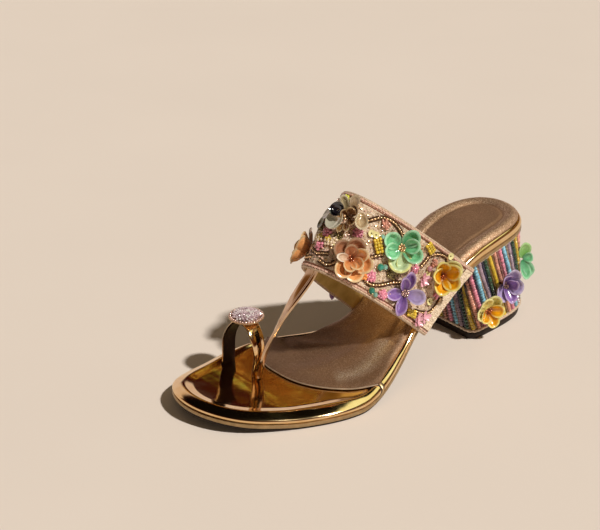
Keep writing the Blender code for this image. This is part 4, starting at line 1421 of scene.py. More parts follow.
# ---------------------------------------------------------------- embroidery on the band
VINES = (
    # name, then places (u, v) from one end to the other
    ("back spray",   ((0.39, 0.73), (0.365, 0.83), (0.345, 0.90), (0.31, 0.92), (0.28, 0.88), (0.26, 0.82))),
    ("loop",         ((0.17, 0.63), (0.17, 0.72), (0.17, 0.82), (0.155, 0.90), (0.135, 0.92), (0.125, 0.88))),
    ("mint stem",    ((0.315, 0.38), (0.295, 0.45), (0.275, 0.53))),
    ("front spray",  ((0.30, 0.17), (0.27, 0.13), (0.24, 0.18), (0.215, 0.27), (0.19, 0.35))),
    ("corner spray", ((0.075, 0.47), (0.065, 0.35), (0.08, 0.23), (0.095, 0.18), (0.115, 0.15))),
    ("crown scroll", ((0.48, 0.12), (0.435, 0.10), (0.405, 0.17))),
    ("crown inner",  ((0.50, 0.18), (0.445, 0.23))),
)
CLUSTERS = (
    # place            u      v      colour     beads  spread  bead
    ("crown back",    0.505, 0.90,  "lime",       9,    2.2,  "round"),
    ("pink crown",    0.500, 0.45,  "pink",      11,    2.6,  "round"),
    ("pink crown 2",  0.505, 0.27,  "pink",       8,    2.2,  "round"),
    ("pink centre",   0.385, 0.60,  "pink",      12,    2.7,  "tube"),
    ("pink mint",     0.180, 0.58,  "pink",      10,    2.3,  "tube"),
    ("pink front",    0.275, 0.22,  "pink",      14,    3.0,  "tube"),
    ("pink corner",   0.090, 0.47,  "pink",       7,    1.9,  "tube"),
    ("petals front",  0.095, 0.07,  "pale_pink",  7,    2.2,  "leaf"),
    ("petals front2", 0.085, 0.15,  "pale_pink",  6,    2.0,  "leaf"),
    ("petals mid",    0.145, 0.53,  "pale_pink",  8,    2.4,  "leaf"),
    ("pink oval",     0.220, 0.10,  "pink",      18,    2.9,  "round"),
    ("yellow centre", 0.305, 0.58,  "yellow",    15,    2.8,  "block"),
    ("yellow back",   0.185, 0.90,  "yellow",    12,    2.4,  "block"),
    ("yellow front",  0.120, 0.10,  "yellow",    12,    2.4,  "block"),
    ("pearls",        0.545, 0.40,  "shell_sand", 10,   2.6,  "round"),
    ("pearls 2",      0.468, 0.36,  "shell_sand", 10,   2.6,  "round"),
    ("yellow crown",  0.524, 0.38,  "yellow",     6,    1.8,  "round"),
    ("khaki crown",   0.442, 0.463, "khaki",      9,    2.2,  "round"),
    ("khaki",         0.225, 0.37,  "khaki",     12,    2.8,  "tube"),
    ("orange",        0.295, 0.17,  "orange",     8,    2.0,  "round"),
    ("peach tubes",   0.325, 0.85,  "peach",     10,    2.6,  "tube"),
    ("loop inside",   0.150, 0.78,  "peach",      7,    2.0,  "tube"),
)
RING_SEQUINS = (
    # u      v     diameter
    (0.440, 0.38,  4.2),
    (0.345, 0.67,  4.2),
    (0.330, 0.68,  4.0),
    (0.130, 0.965, 4.2),
    (0.095, 0.35,  4.4),
    (0.145, 0.62,  3.4),
)
CRYSTALS = (
    # u      v     diameter colour
    (0.265, 0.37,   4.2,   "teal"),
    (0.253, 0.40,   3.4,   "clear_teal"),
    (0.255, 0.07,   4.0,   "teal"),
    (0.240, 0.05,   3.2,   "clear_teal"),
    (0.310, 0.70,   2.8,   "clear_teal"),
    (0.150, 0.68,   3.6,   "rose_stone"),
)
CENTRE_DISCS = (
    # name              u      v     diameter  depth  lift  turn  tilt   colour
    ("clear_disc",     0.540, 0.680,  10.0,    1.2,   1.6,   30.0,  -8.0, "clear"),
    ("silver_disc",    0.478, 0.600,  11.6,    2.2,   3.4,   90.0, -14.0, "silver"),
    ("black_disc",     0.490, 0.720,   8.6,    1.9,   4.6,   90.0,   6.0, "black"),
    ("black_inner",    0.486, 0.715,   5.2,    1.0,   5.6,   90.0,   6.0, "black"),
    ("small_green",    0.220, 0.53,    8.6,    2.0,   2.0,  235.0,  22.0, "pale_green"),
    ("olive_disc",     0.568, 0.545,   7.4,    1.2,   1.4,   60.0,  10.0, "olive_glass"),
)
SHELL_PETALS = (
    # name            u      v     length width  cup   lift  turn   tilt  colour
    ("leaf",         0.474, 0.78,   9.0,  5.6,  0.8,   0.8,   35.0, 34.0, "pale_shell"),
    ("leaf 2",       0.455, 0.80,   9.0,  7.0,  0.8,   0.6,    5.0, 16.0, "beige_shell"),
    ("curled",       0.415, 0.83,  11.5,  8.5,  2.6,   1.6,  -150.0, 14.0, "beige_shell"),
    ("brown 1",      0.448, 0.75,   8.6,  7.0,  1.8,   1.4,   -38.0, 40.0, "amber"),
    ("brown 2",      0.440, 0.72,   8.0,  6.4,  1.6,   1.4,    20.0, 46.0, "amber"),
    ("brown 3",      0.446, 0.68,   8.6,  6.2,  1.6,   1.2,  -100.0, 38.0, "amber"),
    ("brown 4",      0.450, 0.63,   8.0,  4.4,  1.4,   1.0,  -130.0, 30.0, "amber_light"),
    ("brown 5",      0.456, 0.62,   8.4,  4.2,  1.3,   1.0,  -165.0, 28.0, "amber_light"),
    ("brown 6",      0.452, 0.70,   7.4,  5.6,  1.6,   1.2,    80.0, 52.0, "amber"),
)


def on_both_sides(rows):
    """Rows whose first two values are u and v, and again with u mirrored to the medial side."""
    return [*rows, *((1 - u, v, *rest) for u, v, *rest in rows)]


def band_path(places):
    """A smooth line on the cloth through (u, v) places, and the surface's normals on it."""
    if len(places) > 2:
        u, v = smooth_path(places, 14 * (len(places) - 1)).T
    else:
        u, v = np.linspace(*places, 15).T
    return BAND.points(u, v, fabric_lift(u, v)), BAND.out(u, v)


def vines(cord, looks):
    """Stitched stems: a twisted cord each side of a row of small metal beads."""
    cords, beads = [], Pile()
    for medial in (False, True):
        for _, places in VINES:
            path, normals = band_path([(1 - u if medial else u, v) for u, v in places])
            fine, _, index = even_steps(path, 0.45)
            near = normals[index]
            across = unit(np.cross(np.gradient(fine, axis=0), near))
            cords += [rope(fine + across * shift + near * 0.30, near, 0.52, strands=2, lay=1.6, sides=7)
                      for shift in (-0.95, 0.95)]
            thread_beads(beads, seed_bead(1.25, 1.7), path, normals, 1.9, (0.9, 1.08), lift=0.6)
    new_piece("vine_cords", *join_bodies(cords), cord, "band_fabric")
    beads.piece("vine_beads", looks["champagne"], "seed_beads")


def bead_clusters(looks):
    """Little heaps of beads: loose, in rows of three as a block, in tufts of tubes, or as leaves."""
    templates = {
        "round": seed_bead(1.75, 1.45),
        "block": seed_bead(1.95, 1.55),
        "tube": seed_bead(1.45, 2.2),
        "leaf": petal(4.2, 2.6, 0.5, 0.5, cells=6),
    }
    piles = Piles()
    # those on the crown of the band aren't repeated on the medial side
    rows = [row[1:] for row in CLUSTERS]
    rows += [(1 - row[0], *row[1:]) for row in rows if abs(row[0] - 0.5) >= 0.02]
    for u, v, colour, count, spread, kind in rows:
        heading = RANDOM.uniform(0, math.pi)
        for k in range(count):
            reach, angle = spread * math.sqrt((k + 0.3) / count), 2.4 * k + heading
            back, over = reach * math.cos(angle), reach * math.sin(angle)
            if kind == "block":
                row, column = divmod(k, 3)
                reach = 0.6 * spread
                run = (column - 1) * 1.6 + RANDOM.uniform(-0.15, 0.15)
                step = (row - (count / 3 - 1) / 2) * 1.7 + RANDOM.uniform(-0.15, 0.15)
                back = run * math.cos(heading) - step * math.sin(heading)
                over = run * math.sin(heading) + step * math.cos(heading)
            mound = 0.75 + 0.9 * (1 - (reach / spread) ** 2)
            place, axes = on_cloth(*BAND.moved(u, v, back, over), mound)
            turn = heading + (RANDOM.uniform(0, math.pi) if kind == "round" else RANDOM.normal() * 0.35)
            if kind == "block":
                turn = heading + 0.06 * RANDOM.normal()
            if kind == "leaf":
                along = spun(axes, angle)[0]
                lean, side = unit(along + axes[2] * 0.35), unit(np.cross(axes[2], along))
                own_axes = np.stack([lean, side, np.cross(lean, side)])
                place = place - along * 1.4
            else:
                along = spun(axes, turn)[0]
                own_axes = bead_axes(unit(along + 0.15 * RANDOM.normal(size=3)), axes[2])
            piles[colour].add(templates[kind], place, own_axes, size=RANDOM.uniform(0.92, 1.1))
    piles.pieces("embroidery", looks)


def ground_beads(looks):
    """Small beads and tubes sewn all over the cloth between the figures."""
    piles = Piles((colour, Pile()) for colour in ("champagne", "shell_pink", "rose_silver"))
    bead, tube_bead = seed_bead(1.0, 0.9, sides=6), bugle(0.8, 1.8, sides=5)
    for u in np.arange(0.085, 0.925, 0.0125):
        for v in np.arange(0.10, 0.92, 0.052):
            place = u + RANDOM.uniform(-0.005, 0.005), v + RANDOM.uniform(-0.022, 0.022)
            chosen, turn = RANDOM.random(), RANDOM.uniform(0, math.pi)
            if chosen > 0.72:
                continue
            point, axes = on_cloth(*place, 0.3)
            pile = list(piles.values())[int(chosen * 40) % 3]
            pile.add(tube_bead if chosen < 0.2 else bead, point, bead_axes(spun(axes, turn)[0], axes[2]),
                     size=RANDOM.uniform(0.85, 1.15))
    piles.pieces("ground_beads", looks)


def ring_sequins(looks):
    pile, eyes = Pile(), Pile()
    for u, v, diameter in on_both_sides(RING_SEQUINS):
        place, axes = on_cloth(u, v, 0.85)
        pile.add(cup_disc(diameter, 0.5, 0.55, hole=1.0, sides=18, rows=4), place, axes)
        eyes.add(ball(0.95, 8, 4), place + axes[2] * 0.05, axes)
    pile.piece("ring_sequins", looks["pale_sequin"], "seed_beads")
    eyes.piece("ring_sequin_eyes", looks["khaki"], "seed_beads")


def crystals(looks):
    piles, bezels = Piles(), Pile()
    for u, v, diameter, colour in on_both_sides(CRYSTALS):
        piles[colour].add(chaton(diameter, diameter * 0.62), *on_cloth(u, v, 0.9))
        bezels.add(cup_disc(diameter * 1.12, 0.9, 0.5, hole=diameter * 0.5, sides=16, rows=3),
                   *on_cloth(u, v, 0.45))
    piles.pieces("stones", looks, sharp=20.0)
    bezels.piece("stone_bezels", looks["champagne"], "seed_beads")


CROWN_BEADS = ((0.458, 0.69, 4.2), (0.450, 0.66, 4.4), (0.462, 0.645, 4.0), (0.474, 0.66, 5.0))  # u, v, lift


def centre_ornament(looks):
    """Large discs and glass petals over the middle of the instep."""
    for name, u, v, diameter, depth, lift, turn, tilt, colour in CENTRE_DISCS:
        place, axes = on_cloth(u, v, lift)
        single(name, cup_disc(diameter, depth, 0.45, hole=1.0, sides=36, rows=8), place,
               tilted(axes, turn, tilt), looks[colour], "seed_beads")
    piles, tips = Piles(), Pile()
    for _, u, v, length, width, cup, lift, turn, tilt, colour in SHELL_PETALS:
        place, axes = on_cloth(u, v, 0.6)
        piles[colour].add(petal(length, width, cup, lift, thick=0.35), place, tilted(axes, turn, tilt))
    piles.pieces("crown_petals", looks)
    for u, v, lift in CROWN_BEADS:
        tips.add(ball(1.9, 12, 7), *on_cloth(u, v, lift))
    tips.piece("crown_beads", looks["champagne"], "seed_beads")


# ---------------------------------------------------------------- flowers
BAND_FLOWERS = (
    # name                       u      v     style        leans towards, by
    ("flower_yellow_lateral",  0.111, 0.705, "yellow",     117.0, 30.0),
    ("flower_purple_lateral",  0.164, 0.265, "purple",     120.0, 28.0),
    ("flower_mint_lateral",    0.245, 0.710, "mint",       113.0, 24.0),
    ("flower_peach_lateral",   0.360, 0.280, "peach",      121.0, 10.0),
    ("flower_peach_medial",    0.670, 0.240, "peach",      -90.0, 12.0),
    ("flower_mint_medial",     0.810, 0.600, "mint_round", -110.0, 10.0),
    ("flower_purple_medial",   0.885, 0.180, "purple_med", -110.0, 10.0),
    ("flower_yellow_medial",   0.910, 0.720, "yellow_med", -110.0, 10.0),
)
HEEL_FLOWERS = (
    # colour, on both sides   back to breast  seat to foot   leans towards, by
    ("mint",                      0.256,         0.38,        165.0, 50.0),
    ("purple",                    0.52,          0.50,        150.0, 20.0),
    ("yellow",                    0.71,          0.72,        150.0, 24.0),
)


def wheel(count, first, *petal_form):
    """The same petal all round, from the turn of the first one."""
    return tuple((first + 360.0 / count * k, *petal_form) for k in range(count))


# Petals of each style: turn from the direction to the heel, tilt, length, width, cup, fold,
# and colour where it isn't the flower's own
FLOWER_STYLES = {
    "mint": dict(colour="mint", eye="champagne", bowl=0.45, ripple=0.16, thick=0.35, waist=0.4, petals=(
        (95.0, 16.0, 12.5, 11.5, 3.0, 0.2),
        (150.0, 24.0, 11.5, 11.0, 2.8, 0.2),
        (-2.0, 16.0, 13.0, 11.0, 3.0, 0.5),
        (-38.0, 28.0, 11.0, 10.0, 2.6, 0.5),
        (-80.0, 14.0, 13.0, 11.0, 2.6, 0.5),
        (-149.0, 8.0, 14.0, 14.0, 3.2, 0.0, "pale_green"),
    )),
    "mint_round": dict(colour="mint", eye="khaki", bowl=0.5, ripple=0.16, thick=0.35, waist=0.4,
                       petals=wheel(6, 18.0, 24.0, 12.0, 10.0, 2.6, 0.3)),
    "purple": dict(colour="purple", eye="rose_silver", bowl=0.2, ripple=0.14, thick=0.35, waist=0.5, petals=(
        (27.0, 20.0, 13.0, 8.0, 2.8, 0.9),
        (48.0, 34.0, 11.5, 7.0, 2.6, 0.4),
        (132.0, 18.0, 12.0, 8.5, 2.6, 1.0),
        (-162.0, 14.0, 13.5, 8.0, 2.8, 1.5),
        (-68.0, 20.0, 12.0, 10.5, 1.8, 0.6, "lilac_pale"),
    )),
    "purple_med": dict(colour="purple", eye="rose_silver", bowl=0.2, ripple=0.14, thick=0.35, waist=0.5,
                       petals=wheel(5, 15.0, 24.0, 12.0, 9.0, 2.8, 1.0)),
    "yellow_med": dict(colour="yellow", eye="orange", bowl=0.15, ripple=0.10, thick=0.6, waist=0.35,
                       petals=wheel(5, 5.0, 38.0, 11.5, 10.5, 3.0, 0.3)),
    "yellow": dict(colour="yellow", eye="copper", bowl=0.15, ripple=0.10, thick=0.65, waist=0.35, petals=(
        (70.0, 44.0, 12.0, 11.0, 3.2, 0.3),
        (-12.0, 40.0, 12.5, 11.5, 3.0, 0.4),
        (-86.0, 36.0, 12.5, 11.5, 3.0, 0.3),
        (-148.0, 34.0, 13.0, 11.5, 3.0, 0.4),
        (132.0, 46.0, 12.0, 10.5, 3.0, 0.3),
        (-8.0, 20.0, 12.5, 12.0, 2.0, 0.0, "pale_yellow"),
    )),
    "peach": dict(colour="peach", eye="copper", bowl=0.35, ripple=0.05, thick=0.35, waist=0.3, petals=(
        (112.0, 40.0, 11.0, 5.5, 1.6, 0.0, "peach_pale"),
        (70.0, 18.0, 13.0, 11.5, 2.2, 0.0, "peach_smoke"),
        (12.0, 24.0, 13.5, 12.0, 2.6, 0.0, "peach_smoke"),
        (30.0, 40.0, 10.5, 8.5, 2.2, 0.0, "peach_smoke"),
        (-44.0, 34.0, 12.0, 9.0, 2.6, 0.0),
        (-88.0, 22.0, 13.5, 12.0, 2.8, 0.0),
        (-100.0, 42.0, 11.0, 8.5, 2.4, 0.0),
        (-140.0, 20.0, 14.0, 12.0, 2.8, 0.0),
        (172.0, 24.0, 13.5, 11.5, 2.8, 0.0),
        (-166.0, 44.0, 10.5, 8.5, 2.4, 0.0),
    )),
    "mint_heel": dict(colour="mint", eye=None, bowl=0.2, ripple=0.14, thick=0.35, waist=0.3, petals=(
        (62.0, 8.0, 10.5, 10.0, 1.6, 0.2, "leaf_green"),
        (-74.0, 8.0, 12.0, 8.5, 1.6, 0.5),
        (-98.0, 10.0, 12.5, 8.0, 1.8, 0.5),
        (8.0, 20.0, 6.5, 7.5, 2.0, 0.3),
    )),
    "purple_heel": dict(colour="purple", eye="rose_silver", bowl=0.15, ripple=0.2, thick=0.35, waist=0.3,
                        petals=(
        (70.0, 30.0, 12.5, 13.0, 2.2, 0.8, "lilac_pale"),
        (120.0, 40.0, 11.0, 11.0, 2.4, 0.8),
        (-150.0, 24.0, 12.0, 12.0, 2.2, 0.9, "lilac_pale"),
        (-95.0, 30.0, 12.0, 10.0, 2.4, 0.9),
        (-20.0, 40.0, 11.0, 11.0, 2.4, 0.6, "lilac_pale"),
        (20.0, 60.0, 9.0, 9.0, 2.4, 0.4),
    )),
    "yellow_heel": dict(colour="yellow", eye="copper", bowl=0.2, ripple=0.08, thick=0.5, waist=0.3, petals=(
        (0.0, 30.0, 10.0, 9.0, 2.8, 0.2),
        (-80.0, 24.0, 10.5, 9.5, 2.8, 0.2),
        (-150.0, 30.0, 9.5, 8.5, 2.6, 0.2),
        (60.0, 22.0, 12.0, 11.0, 2.0, 0.0, "pale_yellow"),
        (115.0, 26.0, 12.0, 11.0, 1.8, 0.0, "pale_yellow"),
        (175.0, 22.0, 12.0, 9.5, 2.2, 0.0, "pale_yellow"),
    )),
}
PALE_FORM = dict(bowl=0.8, waist=0.1)       # the pale petals are flatter cups, hardly waisted
PETAL_FOOT = (1.6, 0.6)                     # up the stem, out along the petal
EYE_BEADS, EYE_REACH = 7, 1.75              # round the middle one
EYE_HEIGHTS = (1.5, 2.9, 3.9)               # of its base, the ring of beads and the middle bead


def leaned(axes, towards, angle):
    """Axes of a flower whose stem leans by angle towards a direction in the surface."""
    towards, angle = math.radians(towards), math.radians(angle)
    return spun(tipped(spun(axes, towards), -angle), -towards)


def heel_axes(side, share, level):
    """Point on the heel's covering and its axes, from shares of the ribs as in the construction."""
    count = len(WALL.shares) - 1
    number = round(share * HEEL_RIBS) * (1 if side == "lateral" else -1)
    place = WALL.shares[number % count]
    out = WALL.outward(place, level)
    down = unit(WALL.points(place, 1.0) - WALL.points(place, 0.0))
    upward = unit(-down + out * (down @ out))
    back = unit(np.cross(upward, out))
    return WALL.points(place, level), np.stack([-back if back[1] < 0 else back, upward, out])


def flower(name, base, axes, style, looks):
    """Petals round an eye of small beads, on a short stem."""
    spec = FLOWER_STYLES[style]
    own, form = spec["colour"], {key: spec[key] for key in ("bowl", "ripple", "thick", "waist")}
    piles = Piles()
    handed = np.dot(np.cross(axes[0], axes[1]), axes[2])
    for turn, tilt, length, width, cup, fold, *other in spec["petals"]:
        colour = other[0] if other else own
        jitter = 2.0 * RANDOM.normal(size=2)
        shape = petal(length, width, cup, 0.9, fold,
                      **{**form, **(PALE_FORM if colour.startswith("pale") else {})})
        if handed < 0:
            shape.faces = [face[::-1] for face in shape.faces]
        petal_axes = tilted(axes, turn + jitter[0], tilt + jitter[1])
        foot = base + axes[2] * PETAL_FOOT[0] + petal_axes[0] * PETAL_FOOT[1]
        piles[colour].add(shape, foot, petal_axes)
    for colour, pile in piles.items():
        label = name if colour == own else f"{name}_{colour}"
        pile.piece(f"petals_{label}", looks[f"petal_{colour}"], f"{own}_sequin", (name,))
    if spec["eye"] is None:
        return
    eye, bead, small = Pile(), ball(1.7, 9, 6), seed_bead(1.3, 1.1)
    low, ring, top = (base + axes[2] * height for height in EYE_HEIGHTS)
    eye.add(turned(((1.6, -2.2), (1.9, -0.4), (1.5, 0.9), (0.0, 1.3)), 12), low, axes)
    for k in range(EYE_BEADS):
        out = spun(axes, 2 * math.pi * k / EYE_BEADS)[0]
        eye.add(bead if k % 2 else small, ring + out * EYE_REACH, bead_axes(out, axes[2]))
    eye.add(bead, top, axes)
    eye.piece(f"eye_{name}", looks[spec["eye"]], "seed_beads")


def flowers(looks):
    for name, u, v, style, *lean in BAND_FLOWERS:
        place, axes = on_cloth(u, v)
        flower(name, place, leaned(axes, *lean), style, looks)
    for colour, share, level, *lean in HEEL_FLOWERS:
        for side in SIDES:
            place, axes = heel_axes(side, share, level)
            flower(f"flower_{colour}_heel_{side[:3]}", place, leaned(axes, *lean), f"{colour}_heel", looks)


HEEL_DISC_PLACE = (0.035, 0.10)     # share round the block, level


def heel_disc(look):
    """A smoky disc with a bead on it at the back of the heel, under the seat."""
    wall_out = WALL.outward(*HEEL_DISC_PLACE)
    axes = facing(unit(wall_out + np.array((0.7, -0.5, 0.2))), (0.0, 0.0, -1.0))
    place = WALL.points(*HEEL_DISC_PLACE) + wall_out * 2.2
    pile = Pile()
    pile.add(cup_disc(10.0, 1.2, 0.4, hole=1.0, sides=32, rows=6), place, axes, shade=0.5)
    pile.add(ball(1.6), place + axes[2] * 0.4, axes)
    pile.piece("heel_disc", look, "bead_covering")


# ---------------------------------------------------------------- strap, ring and button
STRAP_SECTION = (
    # across  up     a folded strip: broad flat face, sunk fold line, narrow raised lip
    (-1.0, -0.55), (-1.0, 0.35), (-0.95, 0.62), (-0.85, 0.76), (-0.45, 0.84), (0.05, 0.87),
    (0.32, 0.84), (0.38, 0.60), (0.42, -0.10), (0.47, 0.60), (0.53, 0.84), (0.70, 1.0),
    (0.86, 0.93), (0.97, 0.60), (1.0, 0.20), (1.0, -0.55), (0.90, -0.90), (0.50, -1.0),
    (0.0, -1.0), (-0.50, -1.0), (-0.90, -0.90),
)


def centre_strap(gold):
    """Folded strap from between the toes up to the band."""
    knots = [row[1:] for row in STRAP_ROUTE]
    knots[0] = (*knots[0][:2], STACK - 0.05, *knots[0][3:])
    inside = band_point(0.5, STRAP_JOIN["v"]) + np.array((0.0, 0.4, 0.9))
    knots.append((*inside, STRAP_JOIN["width"], STRAP_JOIN["thick"], 0.0))
    x, t, z, widths, thicks, angle = smooth_path(knots, 110).T
    centres, angle = shoe(x, t, z), np.radians(angle)
    # turned towards the camera's side in the plane of the floor, as in the construction
    wides = np.stack([np.cos(angle), -np.sin(angle), np.zeros(len(angle))], axis=1)
    thin = np.cross(unit(np.gradient(centres, axis=0)), wides)
    profile = np.array(STRAP_SECTION)
    if thin[len(thin) // 2][2] < 0:
        profile[:, 1] *= -1
    # broader towards the band
    widths = widths * lerp(0.86, 1.30, smoothstep(36.0, 62.0, z))
    return new_piece("folded_centre_strap", *sweep(centres, wides, profile, widths, thicks), gold,
                     "mirror_gold", ("upper",), sharp=35.0)


def ring_point(share):
    """Centre line of the toe ring from its lateral to its medial foot, in (x, t, z)."""
    angle = math.pi * share
    middle = (RING_LATERAL_X + RING_MEDIAL_X) / 2
    half = (RING_LATERAL_X - RING_MEDIAL_X) / 2
    rise = abs(math.sin(angle)) ** (2 / RING_SQUARENESS)
    side = signed_power(math.cos(angle), 2 / RING_SQUARENESS)
    x = middle + half * side + math.copysign(RING_BULGE * math.sin(math.pi * rise) ** 2, side)
    return np.array((x, RING_T - RING_LEAN * rise, lerp(FOOT_Z, RING_TOP_Z - RING_THICK / 2, rise)))


RING_SECTION = (
    # across, up: flat, its edges rolled over
    (-1.0, 0.0), (-0.97, 0.5), (-0.88, 0.85), (-0.6, 1.0), (-0.2, 1.04), (0.2, 1.04), (0.6, 1.0),
    (0.88, 0.85), (0.97, 0.5), (1.0, 0.0), (0.97, -0.5), (0.88, -0.85), (0.3, -0.95), (-0.3, -0.95),
    (-0.88, -0.85), (-0.97, -0.5),
)


def toe_ring(gold, lining):
    """A band of foiled leather over the big toe, lined on its inner face."""
    shares = np.linspace(0, 1, 151)
    x, t, z = np.array([ring_point(share) for share in shares]).T
    centres = shoe(x, t, z - 0.75 * (1 - smoothstep(FOOT_Z, FOOT_Z + 1.5, z)))
    width = lerp(RING_FOOT_WIDTH, RING_WIDTH, np.minimum(shares / 0.25, 1.0))
    width = width * (1 + 0.01 * np.sin(shares * 31.0))
    across = (0.0, 1.0, 0.0)
    out = unit(np.cross(unit(np.gradient(centres, axis=0)), across))
    inward = ((centres - centres.mean(axis=0)) * out).sum(axis=1, keepdims=True) < 0
    out = np.where(inward, -out, out)
    # soft dents along the leather
    dents = 0.06 * np.array([[soft_noise(place / 7.0)] for place in centres])
    layers = (("ring_leather", 0.30, width, 1.05, gold, "mirror_gold"),
              ("ring_lining", -0.42, width - 0.5, 0.55, lining, "lining_leather"))
    for name, lift, wide, thick, *made_of in layers:
        new_piece(name, *sweep(centres + out * (lift + dents), across, RING_SECTION, wide, thick), *made_of,
                  ("toe_ring",), sharp=40.0)


TRAY_SECTION = (
    # radius, height: out under the dish, over its lip and back in to the middle
    (3.0, 0.0), (6.0, 0.02), (7.6, 0.35), (8.8, 0.95), (9.7, 1.6), (10.15, 2.0), (10.3, 2.3),
    (10.2, 2.6), (9.9, 2.72), (9.5, 2.66), (9.25, 2.4), (9.1, 1.9), (6.0, 1.7), (0.0, 1.7),
)
TRAY_BALLS = 36
DOME_STONES = 118


def button(tan, looks):
    """Ornament on the ring: a dished tray, a ring of small balls, and a dome of stones."""
    x, t, _ = ring_point(0.5)
    centre, upright = shoe(x, t, RING_TOP_Z + GAP), np.eye(3)

    def around(radius, angle, height):
        return centre + np.array((radius * math.cos(angle), radius * math.sin(angle), height))

    single("button_dish", turned(TRAY_SECTION, 72), centre, upright, tan, "tan_gold", ("button_tray",))
    balls, bead = Pile(), ball(1.55, 9, 6)
    for k in range(TRAY_BALLS):
        balls.add(bead, around(9.35, 2 * math.pi * k / TRAY_BALLS, 2.85), upright,
                  size=RANDOM.uniform(0.95, 1.05))
    balls.piece("button_ball_ring", looks["rose_silver"], "tan_gold", ("button_tray",))

    low, foot = 1.9, 2.3    # where the setting and its dome start
    setting = [(0.0, low), (DOME_RADIUS, low), (DOME_RADIUS, foot)]
    setting += [(DOME_RADIUS * math.cos(a), foot + DOME_HEIGHT * math.sin(a))
                for a in np.linspace(0.2, 1.35, 8)]
    single("button_setting", turned([*setting, (0.0, 5.2)], 48), centre, upright, looks["rose_silver"],
           "crystal", ("button_dome",), shade=0.1)
    stones, stone = Pile(), chaton(1.55, 1.0, 7)
    for k in range(DOME_STONES):
        # even over the dome, in a sunflower's spiral
        reach, angle = math.sqrt((k + 0.5) / DOME_STONES), k * math.pi * (3 - math.sqrt(5))
        lean = 0.75 * reach
        out = unit(np.array((math.cos(angle) * lean, math.sin(angle) * lean, 1.0)))
        out = unit(out + 0.10 * RANDOM.normal(size=3))
        place = around((DOME_RADIUS - 0.1) * reach, angle, 2.6 + DOME_HEIGHT * math.sqrt(1 - reach ** 2))
        stones.add(stone, place, facing(out, (0.3, 1.0, 0.1)), size=RANDOM.uniform(0.85, 1.12))
    stones.piece("button_stones", looks["crystal"], "crystal", ("button_dome",), sharp=15.0)


# ---------------------------------------------------------------- all the looks
BEADS = (
    # key            material             colour           what isn't as in plain glass
    ("pink",        "beads_pink",        (212, 130, 150), dict(speckle=0.4)),
    ("peach",       "beads_peach",       (208, 146, 124)),
    ("yellow",      "beads_yellow",      (208, 176, 48)),
    ("green",       "beads_green",       (20, 62, 34),    dict(spread=0.6, speckle=0.5)),
    ("lilac",       "beads_lilac",       (156, 132, 146)),
    ("sand",        "beads_sand",        (158, 130, 108)),
    ("navy",        "beads_navy",        (34, 38, 62)),
    ("olive",       "beads_olive",       (112, 82, 40)),
    ("rose_brown",  "beads_rose_brown",  (132, 86, 82)),
    ("olive_glass", "disc_olive",        (96, 92, 50),    dict(metallic=0.2, roughness=0.1, spread=0.15)),
    ("sky",         "beads_sky",         (128, 190, 214)),
    ("lime",        "beads_lime",        (206, 206, 70)),
    ("pale_pink",   "beads_pale_pink",   (240, 176, 190)),
    ("khaki",       "beads_khaki",       (128, 112, 60),  dict(metallic=0.4)),
    ("orange",      "beads_orange",      (222, 138, 60)),
    ("champagne",   "beads_champagne",   (222, 184, 138), dict(metallic=0.7, roughness=0.2)),
    ("copper",      "beads_copper",      (168, 92, 50),   dict(metallic=0.6)),
    ("rose_silver", "beads_rose_silver", (206, 172, 158), dict(metallic=0.6)),
    ("shell_pink",  "beads_shell_pink",  (226, 184, 164), dict(spread=0.18)),
    ("shell_sand",  "beads_shell_sand",  (238, 216, 186), dict(spread=0.12)),
    ("pale_sequin", "sequin_pale",       (238, 230, 164), dict(spread=0.1)),
    ("teal",        "stone_teal",        (52, 140, 118),  dict(metallic=0.3, roughness=0.08)),
    ("clear_teal",  "stone_clear_teal",  (136, 184, 168), dict(metallic=0.3, roughness=0.08)),
    ("rose_stone",  "stone_rose",        (216, 158, 168), dict(metallic=0.2, roughness=0.1)),
    ("black",       "disc_black",        (22, 18, 24),
     dict(roughness=0.08, spread=0.1, speckle=0.05, coat=1.0)),
    ("silver",      "disc_silver",       (226, 222, 200), dict(metallic=0.35, roughness=0.12, spread=0.1)),
    ("clear",       "disc_clear",        (176, 170, 152), dict(metallic=0.5, roughness=0.1, spread=0.1)),
    ("smoke",       "disc_smoke",        (112, 84, 80),   dict(metallic=0.3, roughness=0.12, spread=0.1)),
)
